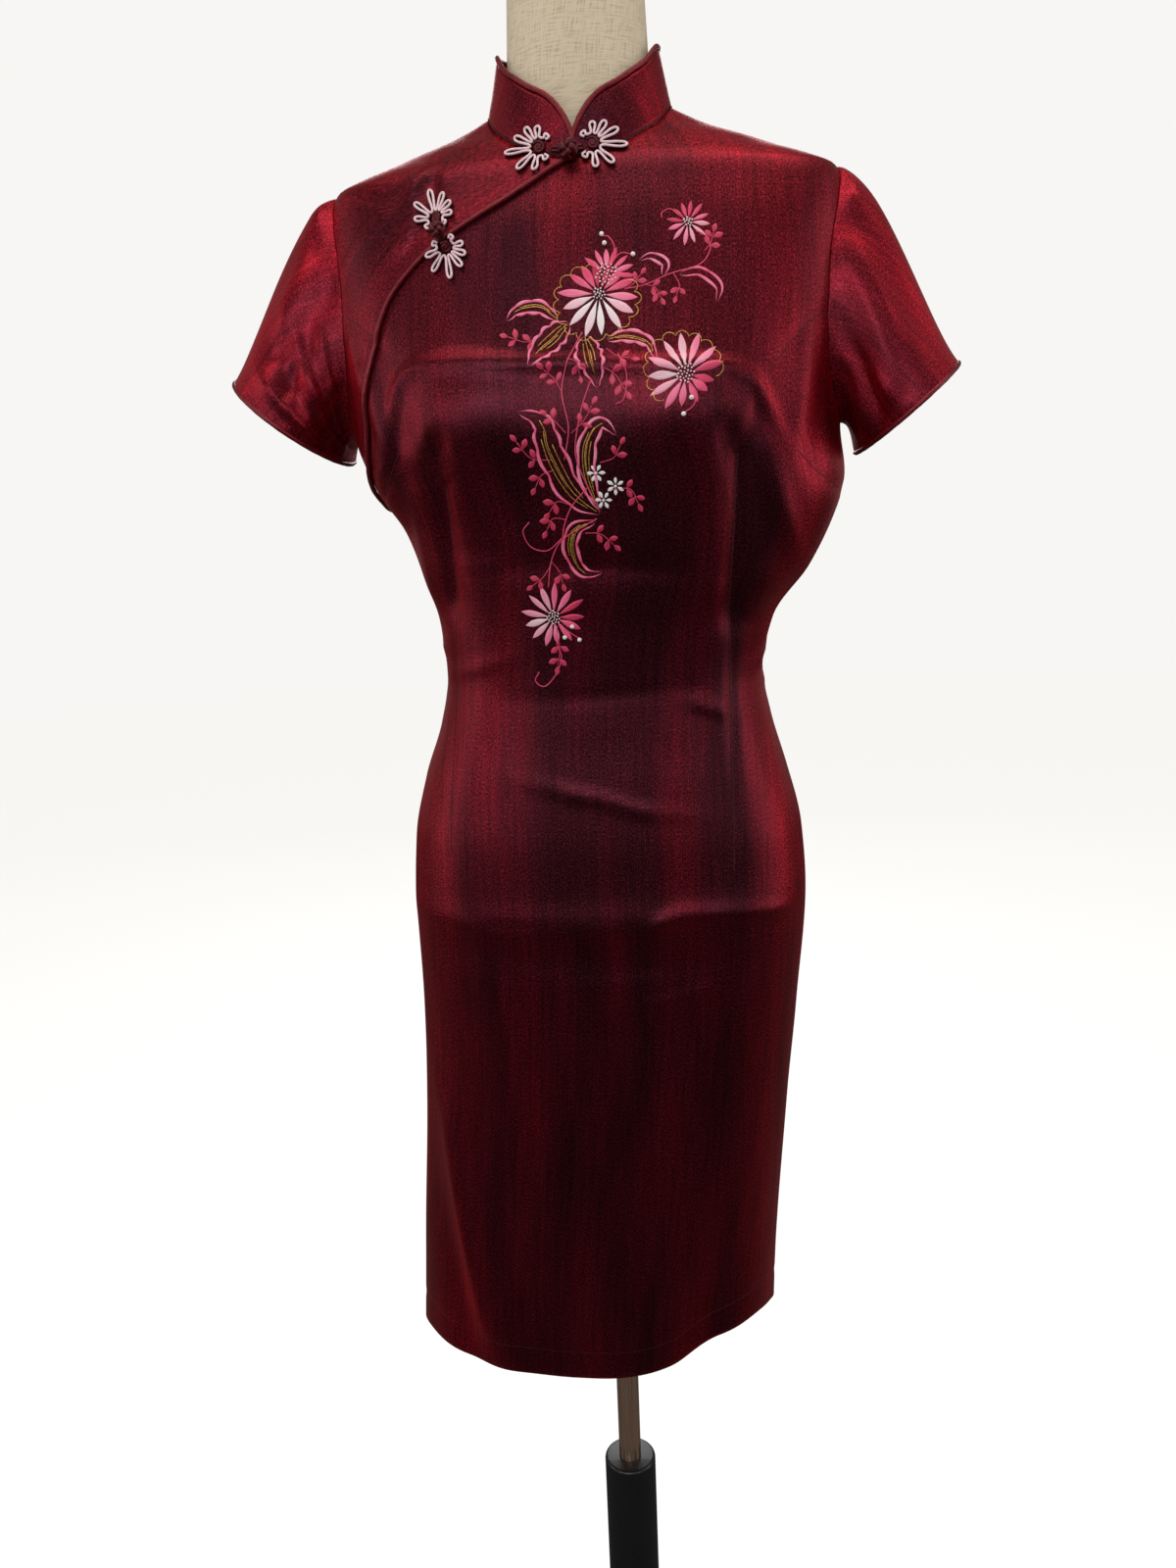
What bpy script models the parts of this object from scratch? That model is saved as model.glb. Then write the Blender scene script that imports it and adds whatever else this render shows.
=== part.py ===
"""A knee-length, short-sleeved cheongsam of shot satin, worn by a plain dress form on a round foot.

The dress is built as its maker would cut it: front, underlap, back, two sleeves, stand collar,
bias piping and flower frogs.  Every cloth panel is a thin wall on one garment surface, which is
read from a table of level sections.  Metres, +Z up, front towards -Y, origin on the floor under
the pole.
"""

import math

import bmesh
import bpy
from mathutils import Vector

MM = 0.001

# Cloth and seams
CLOTH = 1.5 * MM
SEAM = 0.3 * MM
RESTING_GAP = 0.3 * MM
ROUNDNESS = 2.4

# Level sections of the garment, outer face of the cloth
SECTION_COLUMNS = ("height", "centre_x", "half_width", "front", "back")
SECTIONS = (
    (0.440, -0.0255, 0.1640, 0.1110, 0.1050),
    (0.550, -0.0195, 0.1615, 0.1110, 0.1060),
    (0.690, -0.0085, 0.1605, 0.1120, 0.1100),
    (0.780, -0.0025, 0.1625, 0.1140, 0.1140),
    (0.880, 0.0008, 0.1667, 0.1170, 0.1170),
    (0.935, 0.0010, 0.1630, 0.1140, 0.1120),
    (0.985, 0.0010, 0.1510, 0.1080, 0.1000),
    (1.030, 0.0025, 0.1365, 0.1020, 0.0870),
    (1.068, 0.0030, 0.1295, 0.0990, 0.0780),
    (1.110, 0.0060, 0.1355, 0.1010, 0.0790),
    (1.150, 0.0140, 0.1550, 0.1060, 0.0840),
    (1.185, 0.0165, 0.1700, 0.1110, 0.0880),
    (1.220, 0.0110, 0.1855, 0.1150, 0.0920),
    (1.255, 0.0030, 0.1900, 0.1170, 0.0980),
    (1.300, 0.0000, 0.1950, 0.1120, 0.1020),
    (1.350, 0.0000, 0.2000, 0.1000, 0.1040),
    (1.400, 0.0000, 0.1990, 0.0830, 0.0980),
    (1.428, 0.0000, 0.1945, 0.0710, 0.0890),
    (1.439, -0.0005, 0.1890, 0.0660, 0.0840),
    (1.447, -0.0005, 0.1710, 0.0610, 0.0800),
    (1.4535, -0.0005, 0.1510, 0.0550, 0.0760),
    (1.462, -0.0005, 0.1280, 0.0470, 0.0720),
    (1.4725, -0.0010, 0.0980, 0.0350, 0.0670),
    (1.486, -0.0010, 0.0700, 0.0240, 0.0620),
    (1.496, -0.0010, 0.0520, 0.0160, 0.0570),
    (1.509, -0.0010, 0.0300, 0.0100, 0.0500),
)

# Two cups pressed into the front by its bust darts
CUP_X = 0.088
CUP_HEIGHT = 1.272
CUP_REACH = 0.016
CUP_WIDE = 0.062
CUP_TALL = 0.050

# Largest folds: + stands proud, - is a trough; tilt is degrees from level
FOLD_COLUMNS = ("face", "x", "height", "tilt", "half_length", "half_width", "rise")
FOLDS = (
    ("front", -0.136, 1.215, 84.0, 0.070, 0.016, -0.0050),
    ("front", 0.134, 1.205, 97.0, 0.085, 0.018, -0.0060),
    ("front", -0.115, 0.570, 102.0, 0.120, 0.020, 0.0050),
    ("front", -0.137, 0.540, 99.0, 0.100, 0.016, -0.0040),
    ("front", 0.070, 0.500, 84.0, 0.060, 0.020, -0.0040),
    ("front", 0.108, 0.490, 86.0, 0.060, 0.020, 0.0040),
    ("front", 0.000, 0.885, 3.0, 0.150, 0.014, 0.0025),
    ("front", 0.010, 0.852, -2.0, 0.100, 0.014, -0.0020),
    ("front", 0.000, 1.160, -4.0, 0.080, 0.013, -0.0020),
    ("back", -0.075, 1.085, 14.0, 0.060, 0.014, 0.0035),
    ("back", 0.065, 1.105, -12.0, 0.060, 0.014, 0.0030),
    ("back", 0.000, 1.045, 2.0, 0.070, 0.013, -0.0030),
    ("back", -0.090, 0.545, 93.0, 0.110, 0.022, 0.0050),
    ("back", 0.055, 0.535, 88.0, 0.120, 0.022, -0.0040),
    ("back", 0.110, 0.545, 94.0, 0.110, 0.022, 0.0040),
)

# Heights and cut lines
HEM_HEIGHT = 0.465
HEM_COLUMNS = ("turn", "height")
HEM = (
    (-180.0, 0.459),
    (-150.0, 0.474),
    (-128.0, 0.471),
    (-108.0, 0.470),
    (-88.0, 0.468),
    (-68.0, 0.477),
    (-50.0, 0.499),
    (-34.0, 0.506),
    (-18.0, 0.500),
    (0.0, 0.485),
    (60.0, 0.470),
    (120.0, 0.464),
    (180.0, 0.459),
)
UNDERARM = 1.256
SHOULDER_POINT = 1.439
ARMHOLE_FRONT = math.radians(28.0)
ARMHOLE_BACK = math.radians(23.0)
NECK_HALF_WIDTH = 0.069
NECK_FRONT = 0.0625
NECK_BACK = 0.058
NECK_CENTRE_X = -0.001
NECK_BLEND_FROM = 1.330
NECK_BLEND_TO = 1.485
NECK_LOWEST = 1.400
NECK_HIGHEST = 1.506
HEM_BLEND = 0.250

# Edge of the overlapping front, from the side seam up to the front of the neck
PLACKET_COLUMNS = ("x", "height")
PLACKET = (
    (-0.1660, 1.238),
    (-0.1610, 1.262),
    (-0.1560, 1.290),
    (-0.1500, 1.320),
    (-0.1390, 1.349),
    (-0.1180, 1.374),
    (-0.0960, 1.391),
    (-0.0700, 1.406),
    (-0.0400, 1.422),
    (-0.0180, 1.436),
)
SIDE_CORNER = 1.204
PIPING_FREE_END = 3

# Sleeves: outer and inner end of the cuff, seen from the front
CUFF_COLUMNS = ("side", "outer_x", "outer_height", "inner_x", "inner_height")
CUFFS = (
    (1, 0.2800, 1.2965, 0.2050, 1.2330),
    (-1, 0.2820, 1.3080, 0.1980, 1.2400),
)
CUFF_HALF_DEPTH = 0.066
CUFF_CENTRE_Y = -0.004
CAP_PUSH = 0.088
UNDERARM_PUSH = 0.034
CUFF_PULL_LOW = 0.012
SLEEVE_SPINE_X = 0.188
SLEEVE_SPINE_HEIGHT = 1.345
CUFF_PUSH = 0.110
CAP_OUTWARD = Vector((0.96, 0.0, 0.16))

# Collar
COLLAR_HEIGHT = 0.0395
COLLAR_LEAN = 0.0085
COLLAR_FRONT_ROUND = 0.030
COLLAR_FRONT_GAP = 0.0022
COLLAR_LIFT = 0.8 * MM
COLLAR_SHORTEST = 0.004
COLLAR_CORNER_POWER = 2.2
COLLAR_CROWDING = 0.11

# Piping and frogs
PIPE_RADIUS = 1.9 * MM
PIPE_SIDES = 6
COLLAR_PIPE_GAP = 0.5 * MM
PIPING_NEAR = 0.004
PIPING_FAR = 0.008
CORD_WIDTH = 1.3 * MM
CORD_HEIGHT = 2.6 * MM
DISC_HALF_HEIGHT = 1.7 * MM
DISC_LIFT = 2.2 * MM
PETAL_ROOT = 7.2 * MM
DISC_RADIUS = PETAL_ROOT - 0.5 * CORD_WIDTH - 2.0 * RESTING_GAP
PETAL_WAIST = 0.9 * MM
PETAL_BELLY = 1.9 * MM
PETAL_MIDDLE = 0.62
PETAL_SHOULDER = 0.90
PETAL_SHOULDER_WIDTH = 0.8
FROG_WIDEST = 0.95
FROG_STEEPEST = 0.5
PETAL_COLUMNS = ("angle", "reach")
PETALS = (
    (-130.0, 0.0105),
    (-86.0, 0.0145),
    (-55.0, 0.0175),
    (-26.0, 0.0205),
    (6.0, 0.0245),
    (47.0, 0.0210),
    (84.0, 0.0170),
    (126.0, 0.0110),
)
FROG_COLUMNS = ("name", "x", "height", "far_direction", "size", "mirrored")
FROGS = (
    ("collar_frog_left", -0.0255, 1.4530, 178.0, 1.00, False),
    ("collar_frog_right", 0.0135, 1.4530, 3.0, 1.00, True),
    ("chest_frog_upper", -0.1005, 1.4085, 98.0, 0.88, False),
    ("chest_frog_lower", -0.0920, 1.3860, 285.0, 0.88, True),
)
KNOT_COLUMNS = ("name", "x", "height", "radius", "lift")
KNOTS = (
    ("collar_knot", -0.0060, 1.4500, 0.0070, 0.0080),
    ("chest_knot", -0.0965, 1.3975, 0.0062, 0.0097),
)

# Dress form and stand
FORM_EASE_COLUMNS = ("height", "ease")
FORM_EASE = (
    (0.790, 0.0080),
    (1.000, 0.0090),
    (1.100, 0.0110),
    (1.200, 0.0190),
    (1.260, 0.0150),
    (1.340, 0.0080),
    (1.400, 0.0056),
    (1.432, 0.0040),
    (1.452, 0.0027),
    (1.475, 0.0046),
    (1.510, 0.0050),
)
RAISE = 0.060
FORM_BOTTOM = 0.790
FORM_EDGE = 0.010
FORM_NECK_WIDTH = 0.0530
FORM_NECK_DEPTH = 0.0455
FORM_NECK_CENTRE_Y = -0.0020
FORM_NECK_TAPER = 0.0030
FORM_NECK_TOP = 1.598
FORM_NECK_ROUND = 0.006
FORM_NECK_FROM = 1.500
FORM_EDGE_DRAW = 0.05
FORM_NECK_DRAW = 0.10
FORM_HEIGHTS = (
    0.790, 0.795, 0.802, 0.840, 0.880, 0.920, 0.960, 1.000, 1.035, 1.068, 1.110, 1.150,
    1.190, 1.225, 1.260, 1.290, 1.320, 1.355, 1.390, 1.413, 1.428, 1.435, 1.442, 1.449,
    1.457, 1.4665, 1.477, 1.489, 1.504, 1.540, 1.592, 1.598,
)
POLE_RADIUS = 0.0105
COLUMN_RADIUS = 0.0245
COLUMN_TOP = 0.353
FOOT_RADIUS = 0.190
FOOT_THICKNESS = 0.014
FOOT_BOSS_RADIUS = 0.040
FOOT_BOSS_TOP = 0.034

# How finely the walls are divided
SKIRT_ROWS = 15
ARMHOLE_ROWS = 10
SHOULDER_ROWS = 5
FRONT_COLUMNS = 18
UNDERLAP_COLUMNS = 8
BACK_COLUMNS = 16
SLEEVE_AROUND = 2 * ARMHOLE_ROWS
SLEEVE_ROWS = 6
COLLAR_COLUMNS = 44
COLLAR_ROWS = 2
FORM_AROUND = 28
PLACKET_STEPS = 34
TINY_ANGLE = 0.004
TINY_HEIGHT = 0.0006
HALVINGS = 40
POLE_STEPS = 20
COLUMN_STEPS = 24
FOOT_STEPS = 40
MERGE_DISTANCE = 0.0001
SMOOTH_ANGLE = math.radians(50.0)


class SmoothCurve:
    """A smooth line through table values that never overshoots them."""

    def __init__(self, stations, values):
        self.stations = list(stations)
        self.values = list(values)
        count = len(self.stations)
        self.steps = [
            (self.values[k + 1] - self.values[k]) / (self.stations[k + 1] - self.stations[k])
            for k in range(count - 1)
        ]
        self.slopes = [self.steps[0]]
        for k in range(1, count - 1):
            before, after = self.steps[k - 1], self.steps[k]
            rising = before * after > 0.0
            self.slopes.append(2.0 * before * after / (before + after) if rising else 0.0)
        self.slopes.append(self.steps[-1])

    def __call__(self, station):
        last = len(self.stations) - 1
        if station <= self.stations[0]:
            return self.values[0] + self.slopes[0] * (station - self.stations[0])
        if station >= self.stations[last]:
            return self.values[last] + self.slopes[last] * (station - self.stations[last])
        k = next(i for i in range(last) if station <= self.stations[i + 1])
        width = self.stations[k + 1] - self.stations[k]
        t = (station - self.stations[k]) / width
        return (
            (1 + 2 * t) * (1 - t) ** 2 * self.values[k]
            + t * (1 - t) ** 2 * width * self.slopes[k]
            + t * t * (3 - 2 * t) * self.values[k + 1]
            - t * t * (1 - t) * width * self.slopes[k + 1]
        )


def read_table(rows, columns):
    """One smooth curve for each column of a table, against its first column."""
    stations = [row[0] for row in rows]
    return {
        name: SmoothCurve(stations, [row[k] for row in rows])
        for k, name in enumerate(columns)
        if k > 0
    }


SECTION = read_table(SECTIONS, SECTION_COLUMNS)
HEM_LINE = read_table(HEM, HEM_COLUMNS)
FORM_SLACK = read_table(FORM_EASE, FORM_EASE_COLUMNS)


def signed_power(value, power):
    return math.copysign(abs(value) ** power, value)


def smooth_step(value, start, end):
    t = min(max((value - start) / (end - start), 0.0), 1.0)
    return t * t * (3.0 - 2.0 * t)


def plain_surface(turn, height, inset=0.0):
    """A point of the garment before its folds; turn 0 is +X, -90 degrees the middle front."""
    power = 2.0 / ROUNDNESS
    across = signed_power(math.cos(turn), power)
    deep = signed_power(math.sin(turn), power)
    half_width = SECTION["half_width"](height) - inset
    reach = SECTION["front"](height) if deep < 0.0 else SECTION["back"](height)
    x = SECTION["centre_x"](height) + half_width * across
    y = max(reach - inset, 0.0) * deep
    if deep < 0.0:
        up = ((height - CUP_HEIGHT) / CUP_TALL) ** 2
        for middle in (-CUP_X, CUP_X):
            y -= CUP_REACH * math.exp(-((x - middle) / CUP_WIDE) ** 2 - up) * abs(deep)
    return Vector((x, y, height))


def surface_normal(turn, height):
    along = plain_surface(turn + TINY_ANGLE, height) - plain_surface(turn - TINY_ANGLE, height)
    upward = plain_surface(turn, height + TINY_HEIGHT) - plain_surface(turn, height - TINY_HEIGHT)
    return along.cross(upward).normalized()


def fold_rise(point, face):
    rise = 0.0
    for where, x, height, tilt, half_length, half_width, size in FOLDS:
        if where != face:
            continue
        lean = math.radians(tilt)
        dx, dz = point.x - x, point.z - height
        along = dx * math.cos(lean) + dz * math.sin(lean)
        across = -dx * math.sin(lean) + dz * math.cos(lean)
        rise += size * math.exp(-((along / half_length) ** 2) - (across / half_width) ** 2)
    return rise


def garment(turn, height, lift=0.0):
    """A point of the worn cloth, its folds included, raised off it by lift."""
    point = plain_surface(turn, height)
    side_fade = smooth_step(abs(math.sin(turn)), 0.0, 0.5)
    face = "front" if math.sin(turn) < 0.0 else "back"
    return point + surface_normal(turn, height) * (fold_rise(point, face) * side_fade + lift)


def turn_on_front(x, height):
    """The turn at which the front of the garment stands over x."""
    ratio = (x - SECTION["centre_x"](height)) / SECTION["half_width"](height)
    ratio = min(max(ratio, -0.9999), 0.9999)
    return -math.acos(signed_power(ratio, ROUNDNESS / 2.0))


def neck_turn(angle):
    """Turn and height at which the garment meets the neck ring, seen from above."""
    x = NECK_HALF_WIDTH * math.cos(angle)
    y = (NECK_FRONT if math.sin(angle) < 0.0 else NECK_BACK) * math.sin(angle)
    low, high = NECK_LOWEST, NECK_HIGHEST
    for _ in range(HALVINGS):
        height = 0.5 * (low + high)
        reach = SECTION["front"](height) if y < 0.0 else SECTION["back"](height)
        aside = x + NECK_CENTRE_X - SECTION["centre_x"](height)
        wide = abs(aside / SECTION["half_width"](height)) ** ROUNDNESS
        deep = abs(y / reach) ** ROUNDNESS
        if wide + deep > 1.0:
            high = height
        else:
            low = height
    half = ROUNDNESS / 2.0
    turn = math.atan2(
        signed_power(y / reach, half), signed_power(aside / SECTION["half_width"](height), half)
    )
    return turn, height


def armhole(share, side, forward):
    """Turn and height on the armhole, from the underarm (0) to the shoulder point (1)."""
    middle = 0.5 * (UNDERARM + SHOULDER_POINT)
    height = middle - 0.5 * (SHOULDER_POINT - UNDERARM) * math.cos(math.pi * share)
    swing = math.sin(math.pi * share)
    turn = -ARMHOLE_FRONT * swing if forward else ARMHOLE_BACK * swing
    if side < 0:
        turn = (-math.pi if forward else math.pi) - turn
    return turn, height


def side_edge(side, forward, start):
    """Rows of turn and height up a side seam, an armhole and a shoulder seam."""
    flat = 0.0 if side > 0 else (-math.pi if forward else math.pi)
    edge = []
    if start == "hem":
        for k in range(SKIRT_ROWS):
            share = k / SKIRT_ROWS
            edge.append((flat, HEM_HEIGHT + (UNDERARM - HEM_HEIGHT) * share))
    for k in range(ARMHOLE_ROWS):
        edge.append(armhole(k / ARMHOLE_ROWS, side, forward))
    neck_height = neck_turn(0.0)[1]
    for k in range(SHOULDER_ROWS + 1):
        share = k / SHOULDER_ROWS
        edge.append((flat, SHOULDER_POINT + (neck_height - SHOULDER_POINT) * share))
    return edge


def placket_edge(rows):
    """Rows of turn and height up the edge of the overlapping front."""
    points = list(PLACKET)
    front_turn, front_height = neck_turn(-0.5 * math.pi)
    points.append((plain_surface(front_turn, front_height).x, front_height))
    lengths = [0.0]
    for before, after in zip(points, points[1:]):
        lengths.append(lengths[-1] + math.dist(before, after))
    line_x = SmoothCurve(lengths, [point[0] for point in points])
    line_height = SmoothCurve(lengths, [point[1] for point in points])
    edge = []
    for k in range(rows + 1):
        at = lengths[-1] * k / rows
        edge.append((turn_on_front(line_x(at), line_height(at)), line_height(at)))
    return edge


def placket_line():
    """The edge of the overlapping front as x and height, for pieces that cross it."""
    places = [garment(turn, height) for turn, height in placket_edge(PLACKET_STEPS)]
    return [(place.x, place.z) for place in places[:-PIPING_FREE_END]]


PLACKET_LINE = placket_line()


def neck_edge(start, end, columns):
    edge = []
    for k in range(columns + 1):
        edge.append(neck_turn(start + (end - start) * k / columns))
    return edge


def hem_height(turn):
    """The hem dips at the viewer's left and lifts where the skirt swings out at the right."""
    return HEM_LINE["height"](math.degrees(turn))


def panel(left, right, top, columns, has_hem):
    """Grid of turn and height between two side edges, bent to the neckline and the hem."""
    rows = []
    for row, (low, high) in enumerate(zip(left, right)):
        line = []
        for column in range(columns + 1):
            share = column / columns
            turn = low[0] + (high[0] - low[0]) * share
            height = low[1] + (high[1] - low[1]) * share
            pull = smooth_step(height, NECK_BLEND_FROM, NECK_BLEND_TO) if row > 0 else 0.0
            if row == len(left) - 1:
                pull = 1.0
            straight_turn = top[0][0] + (top[-1][0] - top[0][0]) * share
            straight_height = top[0][1] + (top[-1][1] - top[0][1]) * share
            turn += pull * (top[column][0] - straight_turn)
            height += pull * (top[column][1] - straight_height)
            if has_hem:
                hem_pull = 1.0 - smooth_step(height, HEM_HEIGHT, HEM_HEIGHT + HEM_BLEND)
                height += hem_pull * (hem_height(turn) - HEM_HEIGHT)
            line.append((turn, height))
        rows.append(line)
    return rows


def trim_edges(grid, trim, wrap):
    """Draw each free edge in by half a seam, so that neighbours stand a seam apart."""
    for line in grid:
        if not wrap:
            line[0] = line[0] + (line[1] - line[0]).normalized() * trim
            line[-1] = line[-1] + (line[-2] - line[-1]).normalized() * trim
    for k in range(len(grid[0])):
        grid[0][k] = grid[0][k] + (grid[1][k] - grid[0][k]).normalized() * trim
        grid[-1][k] = grid[-1][k] + (grid[-2][k] - grid[-1][k]).normalized() * trim


def colour(red, green, blue):
    return (red, green, blue, 1.0)


def finish(name, base, roughness, metallic=0.0):
    material = bpy.data.materials.new(name)
    material.use_nodes = True
    shader = material.node_tree.nodes["Principled BSDF"]
    shader.inputs["Base Color"].default_value = base
    shader.inputs["Roughness"].default_value = roughness
    shader.inputs["Metallic"].default_value = metallic
    return material


def add_object(name, mesh, material, collection):
    mesh.shade_smooth()
    mesh.set_sharp_from_angle(angle=SMOOTH_ANGLE)
    mesh.materials.append(material)
    made = bpy.data.objects.new(name, mesh)
    collection.objects.link(made)
    return made


def close_mesh(name, work):
    work.normal_update()
    bmesh.ops.recalc_face_normals(work, faces=work.faces)
    mesh = bpy.data.meshes.new(name)
    work.to_mesh(mesh)
    work.free()
    return mesh


def cloth_wall(name, outer, inner, material, collection, wrap=False):
    """A closed wall between an outer and an inner grid of points; wrap joins the last column."""
    work = bmesh.new()
    skins = [[[work.verts.new(p) for p in line] for line in grid] for grid in (outer, inner)]
    rows, columns = len(outer), len(outer[0])
    spans = columns if wrap else columns - 1
    for skin in skins:
        for row in range(rows - 1):
            for k in range(spans):
                n = (k + 1) % columns
                work.faces.new((skin[row][k], skin[row][n], skin[row + 1][n], skin[row + 1][k]))
    for row in (0, rows - 1):
        for k in range(spans):
            n = (k + 1) % columns
            work.faces.new((skins[0][row][k], skins[0][row][n], skins[1][row][n], skins[1][row][k]))
    if not wrap:
        for k in (0, columns - 1):
            for row in range(rows - 1):
                work.faces.new(
                    (skins[0][row][k], skins[0][row + 1][k], skins[1][row + 1][k], skins[1][row][k])
                )
    return add_object(name, close_mesh(name, work), material, collection)


def ring_solid(name, rings, material, collection):
    """A closed solid lofted through rings of equal count, with flat ends."""
    work = bmesh.new()
    loops = [[work.verts.new(p) for p in ring] for ring in rings]
    count = len(loops[0])
    for low, high in zip(loops, loops[1:]):
        for k in range(count):
            n = (k + 1) % count
            work.faces.new((low[k], low[n], high[n], high[k]))
    work.faces.new(loops[0])
    work.faces.new(loops[-1])
    return add_object(name, close_mesh(name, work), material, collection)


def garment_panel(name, cells, material, collection):
    outer = [[garment(turn, height) for turn, height in line] for line in cells]
    inner = [
        [point - surface_normal(*cell) * CLOTH for point, cell in zip(points, line)]
        for points, line in zip(outer, cells)
    ]
    trim_edges(outer, 0.5 * SEAM, False)
    trim_edges(inner, 0.5 * SEAM, False)
    return cloth_wall(name, outer, inner, material, collection)


def make_panels(material, collection):
    """Front with its curved edge, the underlap behind that edge, and the back."""
    upper_rows = ARMHOLE_ROWS + SHOULDER_ROWS
    right = side_edge(1, True, "hem")
    left = [(-math.pi, height) for _, height in right[:SKIRT_ROWS]]
    left[-1] = (-math.pi, SIDE_CORNER)
    left += placket_edge(upper_rows)
    top = neck_edge(-0.5 * math.pi, 0.0, FRONT_COLUMNS)
    cells = panel(left, right, top, FRONT_COLUMNS, True)
    garment_panel("front_panel", cells, material, collection)

    edge = placket_edge(upper_rows)
    outer_side = side_edge(-1, True, "underarm")
    top = neck_edge(-math.pi, -0.5 * math.pi, UNDERLAP_COLUMNS)
    cells = panel(outer_side, edge, top, UNDERLAP_COLUMNS, False)
    garment_panel("underlap_panel", cells, material, collection)

    right = side_edge(1, False, "hem")
    left = side_edge(-1, False, "hem")
    top = neck_edge(0.0, math.pi, BACK_COLUMNS)
    cells = panel(right, left, top, BACK_COLUMNS, True)
    garment_panel("back_panel", cells, material, collection)


def armhole_loop(side):
    """The whole armhole, from the underarm up the front, over the shoulder and down the back."""
    loop = []
    half = SLEEVE_AROUND // 2
    for k in range(SLEEVE_AROUND):
        forward = k < half
        share = k / half if forward else 2.0 - k / half
        loop.append(garment(*armhole(share, side, forward)))
    return loop


def cuff_frame(side):
    row = next(row for row in CUFFS if row[0] == side)
    outer = Vector((side * row[1], CUFF_CENTRE_Y, row[2]))
    inner = Vector((side * row[3], CUFF_CENTRE_Y, row[4]))
    centre = 0.5 * (outer + inner)
    across = 0.5 * (outer - inner)
    down = Vector((across.z * side, 0.0, -abs(across.x))).normalized()
    return centre, across, down


def cuff_point(side, turn, grow=0.0, drop=0.0):
    """A point of the cuff's mouth; turn 0 is at the underarm and goes round by the front."""
    centre, across, down = cuff_frame(side)
    wide = across * (1.0 + grow / across.length)
    forward = Vector((0.0, -(CUFF_HALF_DEPTH + grow), 0.0))
    return centre - wide * math.cos(turn) + forward * math.sin(turn) + down * drop


def sleeve_point(side, loop, column, share, inward):
    """A point of the sleeve, from the armhole (share 0) to the cuff (share 1)."""
    turn = 2.0 * math.pi * column / SLEEVE_AROUND
    high = 0.5 - 0.5 * math.cos(turn)
    start = loop[column] + Vector((side * 2.0 * SEAM, 0.0, 0.0))
    end = cuff_point(side, turn)
    centre, across, down = cuff_frame(side)
    outward = Vector((side * CAP_OUTWARD.x, 0.0, CAP_OUTWARD.z)).normalized()
    low_push = Vector((side * UNDERARM_PUSH, 0.0, 0.0))
    push = low_push.lerp(outward * CAP_PUSH, high)
    pull = (down * CUFF_PULL_LOW).lerp(down * CUFF_PUSH, high)
    t = share
    row_is_armhole = share == 0.0
    point = (
        start * ((1 + 2 * t) * (1 - t) ** 2)
        + push * (t * (1 - t) ** 2)
        + end * (t * t * (3 - 2 * t))
        - pull * (t * t * (1 - t))
    )
    if inward:
        spine = Vector((side * SLEEVE_SPINE_X, 0.0, SLEEVE_SPINE_HEIGHT)).lerp(centre, t)
        axis = outward.lerp(down, t).normalized()
        toward = spine - point
        toward = (toward - axis * toward.dot(axis)).normalized()
        if row_is_armhole:
            forward = column < ARMHOLE_ROWS
            climb = column / ARMHOLE_ROWS if forward else 2.0 - column / ARMHOLE_ROWS
            facing = surface_normal(*armhole(climb, side, forward))
            toward = (-facing).lerp(toward, max(math.cos(turn), 0.0))
        point += toward.normalized() * inward
    return point


def make_sleeve(name, side, material, collection):
    loop = armhole_loop(side)
    grids = []
    for inward in (0.0, CLOTH):
        grid = []
        for row in range(SLEEVE_ROWS + 1):
            share = row / SLEEVE_ROWS
            line = [sleeve_point(side, loop, k, share, inward) for k in range(SLEEVE_AROUND)]
            grid.append(line)
        grids.append(grid)
    return cloth_wall(name, grids[0], grids[1], material, collection, wrap=True)


def collar_angle(share):
    """Angle round the neck, from the front edge on the right, round the back, to the left."""
    gap = COLLAR_FRONT_GAP / NECK_FRONT
    return -0.5 * math.pi + gap + (2.0 * math.pi - 2.0 * gap) * share


def collar_rise(share):
    """Height of the band at one place: full, but rounded away at its front corners."""
    around = NECK_FRONT * min(
        collar_angle(share) + 0.5 * math.pi, 1.5 * math.pi - collar_angle(share)
    )
    short = max(1.0 - around / COLLAR_FRONT_ROUND, 0.0)
    return max(COLLAR_HEIGHT * math.sqrt(max(1.0 - short ** COLLAR_CORNER_POWER, 0.0)), COLLAR_SHORTEST)


def collar_point(share, rise, outward=0.0):
    angle = collar_angle(share)
    turn, height = neck_turn(angle)
    base = plain_surface(turn, height)
    radial = Vector((math.cos(angle), math.sin(angle), 0.0))
    lean = COLLAR_LEAN * rise / COLLAR_HEIGHT
    return base + Vector((0.0, 0.0, COLLAR_LIFT + rise)) - radial * (lean - outward)


def collar_share(k):
    """Columns stand closer together at the rounded front corners."""
    t = k / COLLAR_COLUMNS
    return t - COLLAR_CROWDING * math.sin(2.0 * math.pi * t)


def make_collar(material, collection):
    grids = []
    for outward in (0.0, -CLOTH):
        grid = []
        for row in range(COLLAR_ROWS + 1):
            line = []
            for k in range(COLLAR_COLUMNS + 1):
                share = collar_share(k)
                rise = collar_rise(share) * row / COLLAR_ROWS
                line.append(collar_point(share, rise, outward))
            grid.append(line)
        grids.append(grid)
    cloth_wall("stand_collar", grids[0], grids[1], material, collection)


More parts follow.
